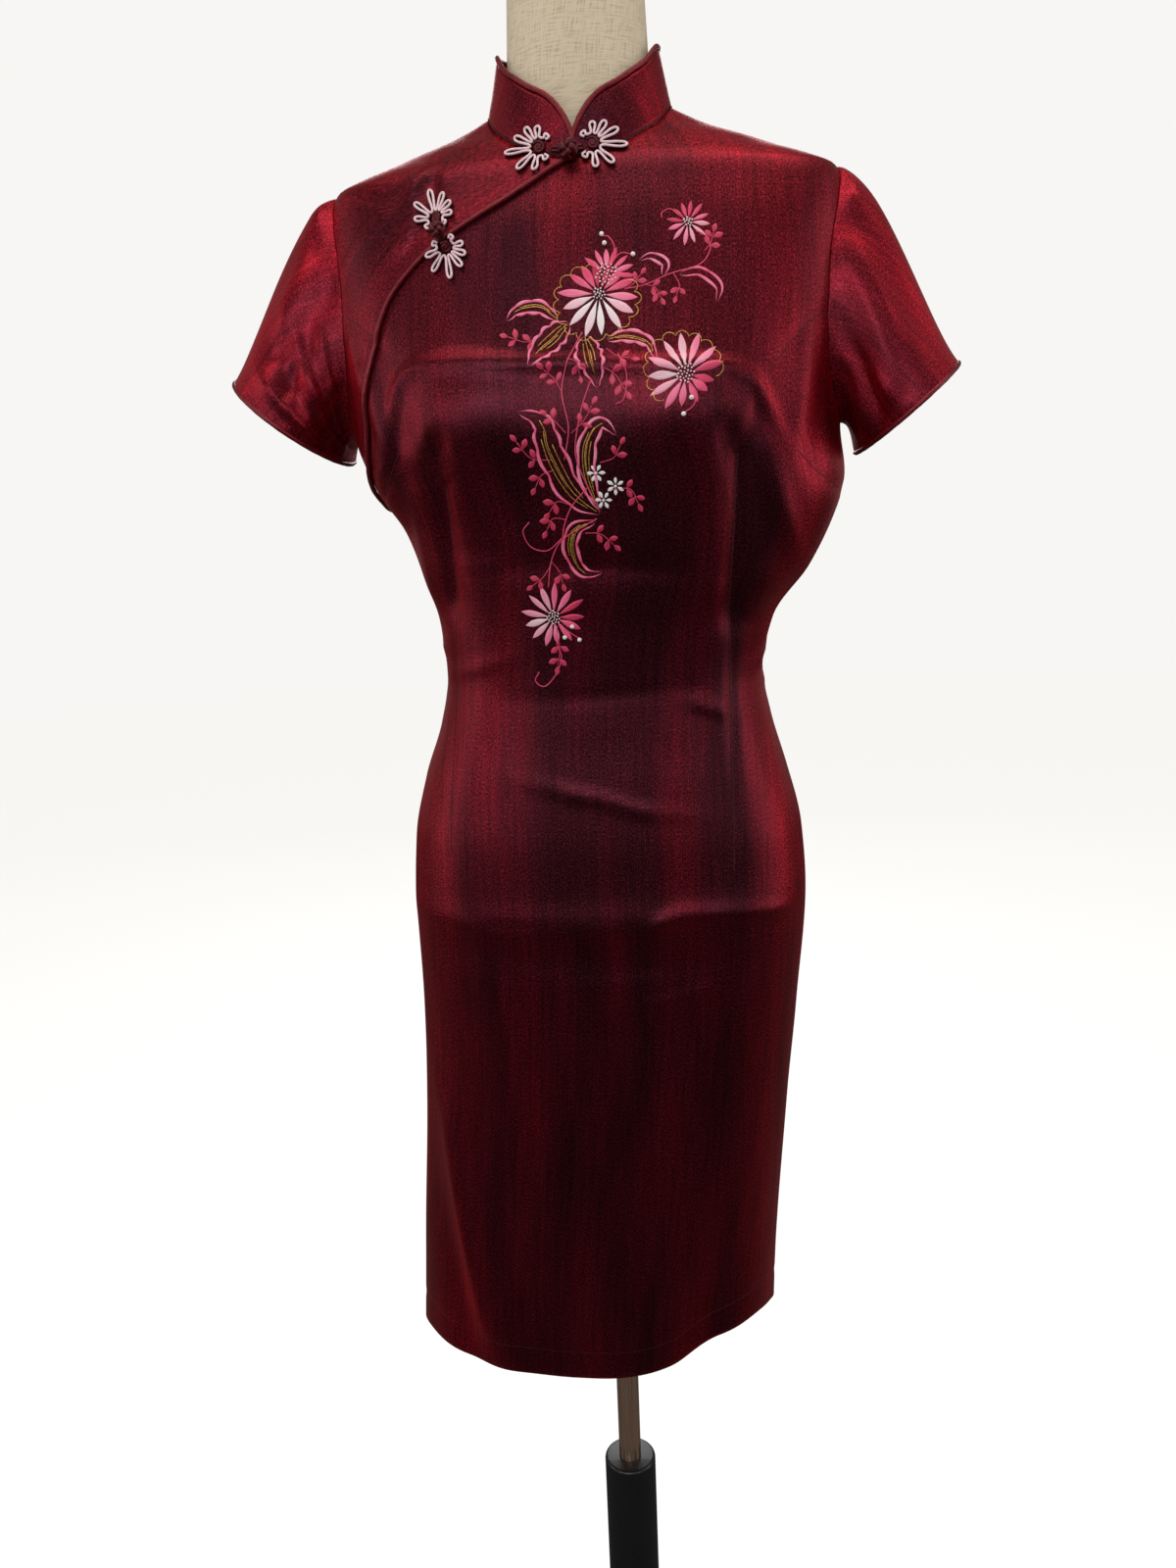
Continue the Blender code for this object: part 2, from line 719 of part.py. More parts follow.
def sweep(name, path, radius, material, collection, closed=False):
    """Piping: a round tube along a path, made from a curve with filled ends."""
    curve = bpy.data.curves.new(name, "CURVE")
    curve.dimensions = "3D"
    curve.bevel_depth = radius
    curve.bevel_resolution = PIPE_SIDES // 2 - 2
    curve.use_fill_caps = not closed
    spline = curve.splines.new("POLY")
    spline.points.add(len(path) - 1)
    for point, place in zip(spline.points, path):
        point.co = (*place, 1.0)
    spline.use_cyclic_u = closed
    curve.materials.append(material)
    made = bpy.data.objects.new(name, curve)
    collection.objects.link(made)
    return made


def make_collar_piping(material, collection):
    stand_off = PIPE_RADIUS + COLLAR_PIPE_GAP
    path = []
    shares = [collar_share(k) for k in range(COLLAR_COLUMNS + 1)]
    edge = [collar_point(s, collar_rise(s), -0.5 * CLOTH) for s in shares]
    for k, place in enumerate(edge):
        before = edge[max(k - 1, 0)]
        after = edge[min(k + 1, len(edge) - 1)]
        angle = collar_angle(shares[k])
        radial = Vector((math.cos(angle), math.sin(angle), 0.0))
        above = radial.cross(after - before).normalized()
        path.append(place + above * stand_off)
    sweep("collar_piping", path, PIPE_RADIUS, material, collection)


def make_placket_piping(material, collection):
    edge = placket_edge(PLACKET_STEPS)
    first_free = 1
    last_free = PLACKET_STEPS - 2
    lift = PIPE_RADIUS + 2.0 * RESTING_GAP
    path = [garment(turn, height, lift) for turn, height in edge[first_free:last_free]]
    sweep("placket_piping", path, PIPE_RADIUS, material, collection)


def make_cuff_piping(name, side, material, collection):
    drop = PIPE_RADIUS + RESTING_GAP
    path = []
    for k in range(SLEEVE_AROUND):
        turn = 2.0 * math.pi * k / SLEEVE_AROUND
        path.append(cuff_point(side, turn, -0.5 * CLOTH, drop))
    sweep(name, path, PIPE_RADIUS, material, collection, closed=True)


def over_piping(x, height):
    """How far a frog rises to pass over the piping of the front's edge."""
    nearest = min(math.dist((x, height), place) for place in PLACKET_LINE)
    near = 1.0 - smooth_step(nearest, PIPING_NEAR, PIPING_FAR)
    return (2.0 * PIPE_RADIUS + 4.0 * RESTING_GAP) * near


def frog_place(x, height, lift):
    """A point over the front of the collar or of the bodice, raised straight forward by lift."""
    aside = x - NECK_CENTRE_X
    across = min(abs(aside) / NECK_HALF_WIDTH, FROG_WIDEST)
    angle = -math.acos(math.copysign(across, aside))
    collar_foot = neck_turn(angle)[1]
    if across < FROG_WIDEST and height >= collar_foot:
        steep = max(math.sqrt(1.0 - across * across), FROG_STEEPEST)
        y = NECK_FRONT * math.sin(angle) + COLLAR_LEAN * (height - collar_foot) / COLLAR_HEIGHT
        return Vector((x, y - lift / steep, height))
    turn = turn_on_front(x, height)
    facing = surface_normal(turn, height)
    place = garment(turn, height)
    lift += over_piping(x, height)
    return place + Vector((0.0, -lift / max(abs(facing.y), FROG_STEEPEST), 0.0))


def frog_outline(size, mirrored):
    """The one cord that draws every petal, as flat points round the disc."""
    points = []
    for angle, reach in PETALS:
        tip = reach * size
        root = PETAL_ROOT * size
        middle = root + PETAL_MIDDLE * (tip - root)
        shoulder = root + PETAL_SHOULDER * (tip - root)
        belly = PETAL_BELLY * size
        rounded = PETAL_SHOULDER_WIDTH * belly
        for out, aside in (
            (root, -PETAL_WAIST),
            (middle, -belly),
            (shoulder, -rounded),
            (tip, 0.0),
            (shoulder, rounded),
            (middle, belly),
            (root, PETAL_WAIST),
        ):
            lean = math.radians(angle)
            along = out * math.cos(lean) - aside * math.sin(lean)
            across = out * math.sin(lean) + aside * math.cos(lean)
            points.append((along, -across if mirrored else across))
    return points


def make_frog(row, cord_material, disc_material, collection):
    name, x, height, far_direction, size, mirrored = row
    facing = math.radians(far_direction)
    clear = 2.0 * RESTING_GAP
    rings = []
    outline = frog_outline(size, mirrored)
    flat = []
    for along, across in outline:
        flat.append(
            (
                x + along * math.cos(facing) - across * math.sin(facing),
                height + along * math.sin(facing) + across * math.cos(facing),
            )
        )
    low = [frog_place(px, pz, clear) for px, pz in flat]
    high = [frog_place(px, pz, clear + CORD_HEIGHT) for px, pz in flat]
    for k, place in enumerate(low):
        before = low[max(k - 1, 0)]
        after = low[min(k + 1, len(low) - 1)]
        up = (high[k] - place).normalized()
        aside = (after - before).normalized().cross(up).normalized() * (0.5 * CORD_WIDTH)
        rings.append((place - aside, place + aside, high[k] + aside, high[k] - aside))
    ring_solid(name + "_cord", rings, cord_material, collection)

    work = bmesh.new()
    bmesh.ops.create_uvsphere(work, u_segments=12, v_segments=6, radius=1.0)
    centre = frog_place(x, height, DISC_LIFT + DISC_HALF_HEIGHT)
    outward = (frog_place(x, height, PETAL_ROOT) - frog_place(x, height, 0.0)).normalized()
    turn = Vector((0.0, 0.0, 1.0)).rotation_difference(outward).to_matrix()
    for vertex in work.verts:
        vertex.co.x *= DISC_RADIUS * size
        vertex.co.y *= DISC_RADIUS * size
        vertex.co.z *= DISC_HALF_HEIGHT
        vertex.co = centre + turn @ vertex.co
    add_object(name + "_disc", close_mesh(name, work), disc_material, collection)


def make_knot(row, material, collection):
    name, x, height, radius, lift = row
    work = bmesh.new()
    bmesh.ops.create_uvsphere(work, u_segments=12, v_segments=8, radius=radius)
    centre = frog_place(x, height, lift)
    for vertex in work.verts:
        vertex.co += centre
    add_object(name, close_mesh(name, work), material, collection)


def form_ring(height):
    """A level section of the padded form; at the top it becomes the neck."""
    taper = FORM_NECK_TAPER * smooth_step(height, FORM_NECK_FROM, FORM_NECK_TOP)
    neck_width = FORM_NECK_WIDTH - taper
    neck_depth = FORM_NECK_DEPTH - taper
    ring = []
    for k in range(FORM_AROUND):
        turn = 2.0 * math.pi * k / FORM_AROUND
        neck = Vector((neck_width * math.cos(turn), neck_depth * math.sin(turn), height))
        neck.x += NECK_CENTRE_X
        neck.y += FORM_NECK_CENTRE_Y
        if height > FORM_NECK_FROM:
            ring.append(neck)
            continue
        ease = FORM_SLACK["ease"](height)
        body = plain_surface(turn, height + ease, ease)
        body.z = height
        outside_neck = math.hypot(body.x, body.y) > math.hypot(neck.x, neck.y)
        ring.append(body if outside_neck else neck)
    return ring


def make_form(material, collection):
    rings = []
    for height in FORM_HEIGHTS:
        ring = form_ring(height)
        low = max(FORM_BOTTOM + FORM_EDGE - height, 0.0) / FORM_EDGE
        high = max(height - FORM_NECK_TOP + FORM_NECK_ROUND, 0.0) / FORM_NECK_ROUND
        draw_in = 1.0 - FORM_EDGE_DRAW * low * low - FORM_NECK_DRAW * high * high
        rings.append([Vector((p.x * draw_in, p.y * draw_in, p.z)) for p in ring])
    ring_solid("dress_form", rings, material, collection)


def turned(name, profile, steps, material, collection):
    """A turned piece: its profile runs down the outer side and is spun by a Screw modifier."""
    mesh = bpy.data.meshes.new(name)
    edges = [(k, k + 1) for k in range(len(profile) - 1)]
    mesh.from_pydata([(radius, 0.0, height) for radius, height in profile], edges, [])
    mesh.materials.append(material)
    made = bpy.data.objects.new(name, mesh)
    collection.objects.link(made)
    screw = made.modifiers.new("turned", "SCREW")
    screw.steps = steps
    screw.render_steps = steps
    screw.use_merge_vertices = True
    screw.merge_threshold = MERGE_DISTANCE
    screw.use_smooth_shade = False
    return made


def make_stand(chrome, black, collection):
    pole_top = FORM_BOTTOM + RAISE - RESTING_GAP
    pole_foot = COLUMN_TOP + RESTING_GAP
    chamfer = 1.0 * MM
    turned(
        "pole",
        ((0.0, pole_top), (POLE_RADIUS, pole_top), (POLE_RADIUS, pole_foot), (0.0, pole_foot)),
        POLE_STEPS,
        chrome,
        collection,
    )
    column_foot = FOOT_BOSS_TOP + RESTING_GAP
    turned(
        "column",
        (
            (0.0, COLUMN_TOP),
            (COLUMN_RADIUS - 2.0 * chamfer, COLUMN_TOP),
            (COLUMN_RADIUS, COLUMN_TOP - 2.0 * chamfer),
            (COLUMN_RADIUS, column_foot),
            (0.0, column_foot),
        ),
        COLUMN_STEPS,
        black,
        collection,
    )
    turned(
        "foot",
        (
            (0.0, FOOT_BOSS_TOP),
            (FOOT_BOSS_RADIUS - 3.0 * chamfer, FOOT_BOSS_TOP),
            (FOOT_BOSS_RADIUS, FOOT_BOSS_TOP - 3.0 * chamfer),
            (FOOT_BOSS_RADIUS + 4.0 * chamfer, FOOT_THICKNESS + 5.0 * chamfer),
            (FOOT_RADIUS - 6.0 * chamfer, FOOT_THICKNESS),
            (FOOT_RADIUS, FOOT_THICKNESS - 4.0 * chamfer),
            (FOOT_RADIUS, 0.0),
            (0.0, 0.0),
        ),
        FOOT_STEPS,
        black,
        collection,
    )


def raise_on_stand(collection):
    """The heights above are a dressmaker's; the stand's slide lifts the worn form to its place."""
    slide = bpy.data.objects.new("stand_slide", None)
    slide.location.z = RAISE
    for worn in list(collection.objects):
        worn.parent = slide
    collection.objects.link(slide)


def main():
    for old in list(bpy.data.objects):
        bpy.data.objects.remove(old)
    collection = bpy.data.collections.new("cheongsam_on_dress_form")
    bpy.context.scene.collection.children.link(collection)

    satin = finish("dark_red_shot_satin", colour(0.16, 0.006, 0.014), 0.35)
    piping = finish("dark_red_satin_bias", colour(0.12, 0.005, 0.012), 0.4)
    pink = finish("pink_silk_cord", colour(0.75, 0.42, 0.48), 0.5)
    canvas = finish("cream_canvas", colour(0.72, 0.66, 0.52), 0.85)
    chrome = finish("chromed_steel_tube", colour(0.55, 0.45, 0.40), 0.2, 1.0)
    black = finish("black_enamel", colour(0.012, 0.012, 0.013), 0.45)

    make_panels(satin, collection)
    make_sleeve("sleeve_right", 1, satin, collection)
    make_sleeve("sleeve_left", -1, satin, collection)
    make_collar(satin, collection)
    make_collar_piping(piping, collection)
    make_placket_piping(piping, collection)
    make_cuff_piping("cuff_piping_right", 1, piping, collection)
    make_cuff_piping("cuff_piping_left", -1, piping, collection)
    for row in FROGS:
        make_frog(row, pink, piping, collection)
    for row in KNOTS:
        make_knot(row, piping, collection)
    make_form(canvas, collection)
    raise_on_stand(collection)
    make_stand(chrome, black, collection)


main()
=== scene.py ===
"""The looks of a short-sleeved cheongsam of dark red shot satin, worn by a canvas dress form.

Every cloth piece is a fine thin shell on the same garment surface as its solid, with the creases,
darts and seams that the photograph shows.  The embroidery, the seed beads, the flower frogs and the
stand are finished here too.  Metres, +Z up, front towards -Y.
"""

import math

import bmesh
import bpy
import numpy as np
from mathutils import Matrix, Vector


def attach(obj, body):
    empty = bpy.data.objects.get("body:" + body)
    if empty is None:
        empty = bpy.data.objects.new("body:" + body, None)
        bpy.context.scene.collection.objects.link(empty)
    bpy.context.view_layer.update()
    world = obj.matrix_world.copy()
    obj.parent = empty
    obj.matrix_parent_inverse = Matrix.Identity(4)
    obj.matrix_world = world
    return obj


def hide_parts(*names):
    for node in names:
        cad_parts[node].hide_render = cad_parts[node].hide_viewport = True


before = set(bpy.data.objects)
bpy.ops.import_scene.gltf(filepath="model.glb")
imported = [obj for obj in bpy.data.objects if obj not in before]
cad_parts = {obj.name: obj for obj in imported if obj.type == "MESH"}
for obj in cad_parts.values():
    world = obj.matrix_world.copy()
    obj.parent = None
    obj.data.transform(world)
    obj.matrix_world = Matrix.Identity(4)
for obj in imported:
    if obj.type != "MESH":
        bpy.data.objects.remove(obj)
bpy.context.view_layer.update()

MM = 0.001

# The garment, as its solids were drafted
CLOTH = 1.5 * MM
SEAM = 0.15 * MM
ROUNDNESS = 2.4

# Heights in the tables are the dressmaker's; the stand raises all of it by this
RAISE = 0.060

SECTION_COLUMNS = ("height", "centre_x", "half_width", "front", "back")
SECTIONS = (
    (0.440, -0.0255, 0.1640, 0.1110, 0.1050),
    (0.550, -0.0195, 0.1615, 0.1110, 0.1060),
    (0.690, -0.0085, 0.1605, 0.1120, 0.1100),
    (0.780, -0.0025, 0.1625, 0.1140, 0.1140),
    (0.880, 0.0008, 0.1667, 0.1170, 0.1170),
    (0.935, 0.0010, 0.1630, 0.1140, 0.1120),
    (0.985, 0.0010, 0.1510, 0.1080, 0.1000),
    (1.030, 0.0025, 0.1365, 0.1020, 0.0870),
    (1.068, 0.0030, 0.1295, 0.0990, 0.0780),
    (1.110, 0.0060, 0.1355, 0.1010, 0.0790),
    (1.150, 0.0140, 0.1550, 0.1060, 0.0840),
    (1.185, 0.0165, 0.1700, 0.1110, 0.0880),
    (1.220, 0.0110, 0.1855, 0.1150, 0.0920),
    (1.255, 0.0030, 0.1900, 0.1170, 0.0980),
    (1.300, 0.0000, 0.1950, 0.1120, 0.1020),
    (1.350, 0.0000, 0.2000, 0.1000, 0.1040),
    (1.400, 0.0000, 0.1990, 0.0830, 0.0980),
    (1.428, 0.0000, 0.1945, 0.0710, 0.0890),
    (1.439, -0.0005, 0.1890, 0.0660, 0.0840),
    (1.447, -0.0005, 0.1710, 0.0610, 0.0800),
    (1.4535, -0.0005, 0.1510, 0.0550, 0.0760),
    (1.462, -0.0005, 0.1280, 0.0470, 0.0720),
    (1.4725, -0.0010, 0.0980, 0.0350, 0.0670),
    (1.486, -0.0010, 0.0700, 0.0240, 0.0620),
    (1.496, -0.0010, 0.0520, 0.0160, 0.0570),
    (1.509, -0.0010, 0.0300, 0.0100, 0.0500),
)

CUP_X = 0.088
CUP_HEIGHT = 1.272
CUP_REACH = 0.016
CUP_WIDE = 0.062
CUP_TALL = 0.050

HEM_HEIGHT = 0.465
HEM_BLEND = 0.250
HEM_COLUMNS = ("turn", "height")
HEM = (
    (-180.0, 0.459),
    (-150.0, 0.474),
    (-128.0, 0.471),
    (-108.0, 0.470),
    (-88.0, 0.468),
    (-68.0, 0.477),
    (-50.0, 0.499),
    (-34.0, 0.506),
    (-18.0, 0.500),
    (0.0, 0.485),
    (60.0, 0.470),
    (120.0, 0.464),
    (180.0, 0.459),
)
UNDERARM = 1.256
SHOULDER_POINT = 1.439
ARMHOLE_FRONT = math.radians(28.0)
ARMHOLE_BACK = math.radians(23.0)
NECK_HALF_WIDTH = 0.069
NECK_FRONT = 0.0625
NECK_BACK = 0.058
NECK_CENTRE_X = -0.001
NECK_BLEND_FROM = 1.330
NECK_BLEND_TO = 1.485
NECK_LOWEST = 1.400
NECK_HIGHEST = 1.506

# The front's curved closing edge, from the side up to the collar: x, height
PLACKET = (
    (-0.1660, 1.238),
    (-0.1610, 1.262),
    (-0.1560, 1.290),
    (-0.1500, 1.320),
    (-0.1390, 1.349),
    (-0.1180, 1.374),
    (-0.0960, 1.391),
    (-0.0700, 1.406),
    (-0.0400, 1.422),
    (-0.0180, 1.436),
)
SIDE_CORNER = 1.204

# Mouths of the sleeves: side, x and height of the outer end, x and height of the inner end
CUFFS = (
    (1, 0.2800, 1.2965, 0.2050, 1.2330),
    (-1, 0.2820, 1.3080, 0.1980, 1.2400),
)
CUFF_HALF_DEPTH = 0.066
CUFF_CENTRE_Y = -0.004
CAP_PUSH = 0.088
UNDERARM_PUSH = 0.034
CUFF_PULL_LOW = 0.012
CUFF_PUSH = 0.110
CAP_OUTWARD = (0.96, 0.0, 0.16)

COLLAR_HEIGHT = 0.0395
COLLAR_LEAN = 0.0085
COLLAR_FRONT_ROUND = 0.030
COLLAR_FRONT_GAP = 0.0006
COLLAR_LIFT = 0.8 * MM
COLLAR_SHORTEST = 0.004
COLLAR_CORNER_POWER = 2.2
COLLAR_CROWDING = 0.11

PIPE_RADIUS = 1.9 * MM
PETAL_ROOT = 7.2 * MM
# Petals of a frog: degrees from its far direction, reach from the middle of its coil
PETALS = (
    (-130.0, 0.0105),
    (-86.0, 0.0145),
    (-55.0, 0.0175),
    (-26.0, 0.0205),
    (6.0, 0.0245),
    (47.0, 0.0210),
    (84.0, 0.0170),
    (126.0, 0.0110),
)
# Frogs: name, x, height, far direction in degrees, size, mirrored
FROGS = (
    ("collar_frog_left", -0.0255, 1.4530, 178.0, 1.00, False),
    ("collar_frog_right", 0.0135, 1.4530, 3.0, 1.00, True),
    ("chest_frog_upper", -0.1005, 1.4085, 98.0, 0.88, False),
    ("chest_frog_lower", -0.0920, 1.3860, 285.0, 0.88, True),
)
# Ball knots: name, x, height, radius, lift off the cloth
KNOTS = (
    ("collar_knot", -0.0030, 1.4490, 0.0074, 0.0080),
    ("chest_knot", -0.0965, 1.3975, 0.0062, 0.0097),
)

FORM_EASE_COLUMNS = ("height", "ease")
FORM_EASE = (
    (0.790, 0.0080),
    (1.000, 0.0090),
    (1.100, 0.0110),
    (1.200, 0.0190),
    (1.260, 0.0150),
    (1.340, 0.0080),
    (1.400, 0.0056),
    (1.432, 0.0040),
    (1.452, 0.0027),
    (1.475, 0.0046),
    (1.510, 0.0050),
)

# Folds: face, place, height, tilt, half length, half width, rise, bend.  A rise above 0 stands
# proud, one below 0 is a trough.  Tilt is degrees from level.  Bend curves the line, in metres of
# drift for each metre along it, squared.  On the sides the place is y, not x.
LARGE_FOLDS = (
    ("front", -0.136, 1.215, 84.0, 0.070, 0.016, -0.0050, 0.0),
    ("front", 0.134, 1.205, 97.0, 0.085, 0.018, -0.0060, 0.0),
    ("front", -0.115, 0.570, 102.0, 0.120, 0.020, 0.0050, 0.0),
    ("front", -0.137, 0.540, 99.0, 0.100, 0.016, -0.0040, 0.0),
    ("front", 0.070, 0.500, 84.0, 0.060, 0.020, -0.0040, 0.0),
    ("front", 0.108, 0.490, 86.0, 0.060, 0.020, 0.0040, 0.0),
    ("front", 0.000, 0.885, 3.0, 0.150, 0.014, 0.0025, 0.0),
    ("front", 0.010, 0.852, -2.0, 0.100, 0.014, -0.0020, 0.0),
    ("front", 0.000, 1.160, -4.0, 0.080, 0.013, -0.0020, 0.0),
    ("back", -0.075, 1.085, 14.0, 0.060, 0.014, 0.0035, 0.0),
    ("back", 0.065, 1.105, -12.0, 0.060, 0.014, 0.0030, 0.0),
    ("back", 0.000, 1.045, 2.0, 0.070, 0.013, -0.0030, 0.0),
    ("back", -0.090, 0.545, 93.0, 0.110, 0.022, 0.0050, 0.0),
    ("back", 0.055, 0.535, 88.0, 0.120, 0.022, -0.0040, 0.0),
    ("back", 0.110, 0.545, 94.0, 0.110, 0.022, 0.0040, 0.0),
)
CREASES = (
    # hips and lap: soft sitting creases
    ("front", -0.070, 0.879, 2.0, 0.060, 0.0050, -0.0011, -1.0),
    ("front", 0.052, 0.884, 24.0, 0.022, 0.0050, 0.0014, 0.0),
    ("front", 0.110, 0.889, -6.0, 0.050, 0.0060, 0.0013, -2.0),
    ("front", -0.010, 0.836, 1.0, 0.070, 0.0045, -0.0009, 1.2),
    ("front", 0.062, 0.822, 12.0, 0.040, 0.0045, 0.0010, 0.0),
    ("front", 0.020, 0.790, -3.0, 0.050, 0.0060, -0.0007, 1.0),
    # waist and under the bust
    ("front", -0.045, 1.163, 1.0, 0.050, 0.0055, 0.0012, 0.0),
    ("front", 0.062, 1.148, -14.0, 0.045, 0.0055, 0.0012, -1.0),
    ("front", 0.090, 1.048, -22.0, 0.022, 0.0045, 0.0011, 0.0),
    ("front", -0.090, 1.082, 16.0, 0.028, 0.0050, 0.0010, 0.0),
    ("front", -0.020, 0.990, -12.0, 0.045, 0.0055, 0.0010, 0.0),
    ("front", 0.050, 0.972, -8.0, 0.030, 0.0050, 0.0008, 0.0),
    ("front", 0.015, 1.062, 3.0, 0.060, 0.0060, -0.0008, 0.0),
    # lengthwise softness of the skirt and of the midriff
    ("front", -0.060, 1.010, 90.0, 0.140, 0.0110, -0.0010, 0.0),
    ("front", 0.048, 0.950, 91.0, 0.170, 0.0130, 0.0012, 0.0),
    ("front", -0.088, 0.760, 94.0, 0.150, 0.0140, 0.0016, 0.0),
    ("front", -0.030, 0.700, 92.0, 0.160, 0.0150, -0.0014, 0.0),
    ("front", 0.035, 0.660, 88.0, 0.150, 0.0150, 0.0014, 0.0),
    ("front", 0.085, 0.720, 89.0, 0.140, 0.0130, -0.0015, 0.0),
    ("front", -0.132, 0.640, 98.0, 0.110, 0.0080, 0.0020, 0.3),
    # chest: pulls from the collar and from the shoulder of the underlap
    ("front", -0.118, 1.432, 62.0, 0.022, 0.0048, 0.0016, 0.0),
    ("front", -0.106, 1.437, 66.0, 0.020, 0.0042, -0.0013, 0.0),
    ("front", -0.150, 1.405, 40.0, 0.028, 0.0060, 0.0014, 0.0),
    ("front", -0.040, 1.400, 88.0, 0.040, 0.0080, 0.0008, 0.0),
    ("front", 0.018, 1.392, 93.0, 0.048, 0.0090, -0.0008, 0.0),
    ("front", 0.058, 1.400, 95.0, 0.050, 0.0100, 0.0008, 0.0),
    ("front", 0.120, 1.360, 98.0, 0.050, 0.0120, 0.0012, 0.0),
    # from the armholes to the bust
    ("front", -0.168, 1.310, 108.0, 0.032, 0.0050, 0.0019, 0.0),
    ("front", -0.158, 1.262, 98.0, 0.028, 0.0055, -0.0016, 0.0),
    ("front", -0.147, 1.268, 100.0, 0.034, 0.0055, 0.0022, 0.0),
    ("front", 0.160, 1.272, 82.0, 0.040, 0.0080, 0.0026, 0.0),
    ("front", 0.175, 1.262, 86.0, 0.036, 0.0060, -0.0018, 0.0),
    ("front", 0.150, 1.186, 108.0, 0.048, 0.0080, 0.0024, 0.0),
    ("front", 0.118, 1.262, 72.0, 0.030, 0.0060, 0.0014, 0.0),
    ("front", 0.110, 1.190, 92.0, 0.060, 0.0060, 0.0014, 0.0),
    # back: the hollow above the seat, the blades, the lap of the skirt
    ("back", -0.040, 1.118, 10.0, 0.048, 0.0060, 0.0014, 0.0),
    ("back", 0.030, 1.072, -8.0, 0.050, 0.0060, 0.0015, 0.0),
    ("back", 0.000, 1.020, 3.0, 0.070, 0.0070, 0.0016, 0.0),
    ("back", -0.085, 1.050, 20.0, 0.034, 0.0060, -0.0014, 0.0),
    ("back", 0.092, 1.052, -22.0, 0.034, 0.0060, -0.0013, 0.0),
    ("back", 0.140, 1.310, 68.0, 0.050, 0.0080, 0.0024, 0.0),
    ("back", -0.142, 1.305, 112.0, 0.050, 0.0080, 0.0022, 0.0),
    ("back", -0.010, 0.860, -2.0, 0.080, 0.0060, 0.0012, 0.0),
    ("back", 0.020, 0.700, 91.0, 0.150, 0.0160, 0.0018, 0.0),
    ("back", -0.060, 0.720, 89.0, 0.150, 0.0150, -0.0016, 0.0),
    ("back", 0.095, 0.690, 92.0, 0.140, 0.0140, 0.0016, 0.0),
    # sides: short pulls at the waist, long soft flutes below the hips
    ("right", -0.020, 1.082, 12.0, 0.030, 0.0055, 0.0013, 0.0),
    ("right", 0.010, 1.056, -8.0, 0.034, 0.0055, 0.0012, 0.0),
    ("right", -0.010, 1.170, 80.0, 0.050, 0.0090, 0.0016, 0.0),
    ("right", 0.030, 0.700, 91.0, 0.150, 0.0140, 0.0018, 0.0),
    ("left", -0.015, 1.090, -12.0, 0.030, 0.0055, 0.0013, 0.0),
    ("left", 0.020, 1.060, 9.0, 0.034, 0.0055, 0.0012, 0.0),
    ("left", 0.000, 1.180, 98.0, 0.050, 0.0090, 0.0015, 0.0),
    ("left", -0.040, 0.680, 90.0, 0.150, 0.0140, 0.0018, 0.0),
)

# Ridges (+) and troughs (-) drawn along a line, fading at both ends: face, half width, rise, line
DRAWN_FOLDS = (
    ("front", 0.0054, 0.0032, (
        (-0.143, 1.232), (-0.138, 1.276), (-0.122, 1.302), (-0.085, 1.306), (-0.040, 1.303),
        (0.004, 1.301), (0.050, 1.297), (0.100, 1.296), (0.126, 1.285), (0.141, 1.256),
        (0.154, 1.228),
    )),
    ("front", 0.0100, 0.0030, ((-0.166, 1.318), (-0.158, 1.288), (-0.152, 1.252), (-0.150, 1.215))),
    ("front", 0.0095, -0.0044, (
        (-0.100, 1.270), (-0.104, 1.236), (-0.106, 1.180), (-0.106, 1.110),
    )),
    ("front", 0.0105, 0.0026, ((-0.128, 1.262), (-0.132, 1.226), (-0.133, 1.176), (-0.130, 1.120))),
    ("front", 0.0100, -0.0046, ((0.106, 1.272), (0.110, 1.228), (0.111, 1.170), (0.107, 1.096))),
    ("front", 0.0110, 0.0028, ((0.136, 1.264), (0.140, 1.220), (0.139, 1.166), (0.133, 1.110))),
    ("front", 0.0045, 0.0011, ((-0.128, 0.881), (-0.080, 0.876), (-0.020, 0.877), (0.034, 0.878))),
    ("front", 0.0050, 0.0016, (
        (0.034, 0.877), (0.050, 0.887), (0.064, 0.893), (0.110, 0.888), (0.160, 0.881),
    )),
    ("front", 0.0042, 0.0009, ((-0.072, 0.841), (-0.020, 0.835), (0.030, 0.838), (0.068, 0.844))),
    ("front", 0.0042, 0.0008, ((0.030, 0.815), (0.060, 0.819), (0.095, 0.827))),
    ("front", 0.0050, -0.0012, ((-0.080, 1.160), (-0.020, 1.163), (0.040, 1.155), (0.104, 1.136))),
    ("front", 0.0042, 0.0010, ((-0.030, 0.988), (0.010, 0.982), (0.052, 0.969))),
    ("front", 0.0042, 0.0013, ((0.076, 1.055), (0.092, 1.049), (0.104, 1.040))),
    ("front", 0.0070, 0.0026, ((-0.139, 0.732), (-0.131, 0.660), (-0.124, 0.590), (-0.110, 0.480))),
    ("front", 0.0050, 0.0018, ((-0.120, 1.446), (-0.116, 1.420), (-0.124, 1.396), (-0.134, 1.380))),
    ("front", 0.0045, -0.0016, ((-0.104, 1.445), (-0.102, 1.420), (-0.106, 1.398))),
    ("back", 0.0060, 0.0020, ((-0.110, 1.110), (-0.050, 1.098), (0.020, 1.104), (0.080, 1.122))),
    ("back", 0.0050, 0.0014, ((-0.080, 1.046), (-0.010, 1.038), (0.060, 1.046), (0.100, 1.058))),
)
DRAWN_STEPS = 5
FOLD_END = 0.18
FACE_SHOWS = (0.0, 0.5)
SIDE_SHOWS = (0.55, 0.95)

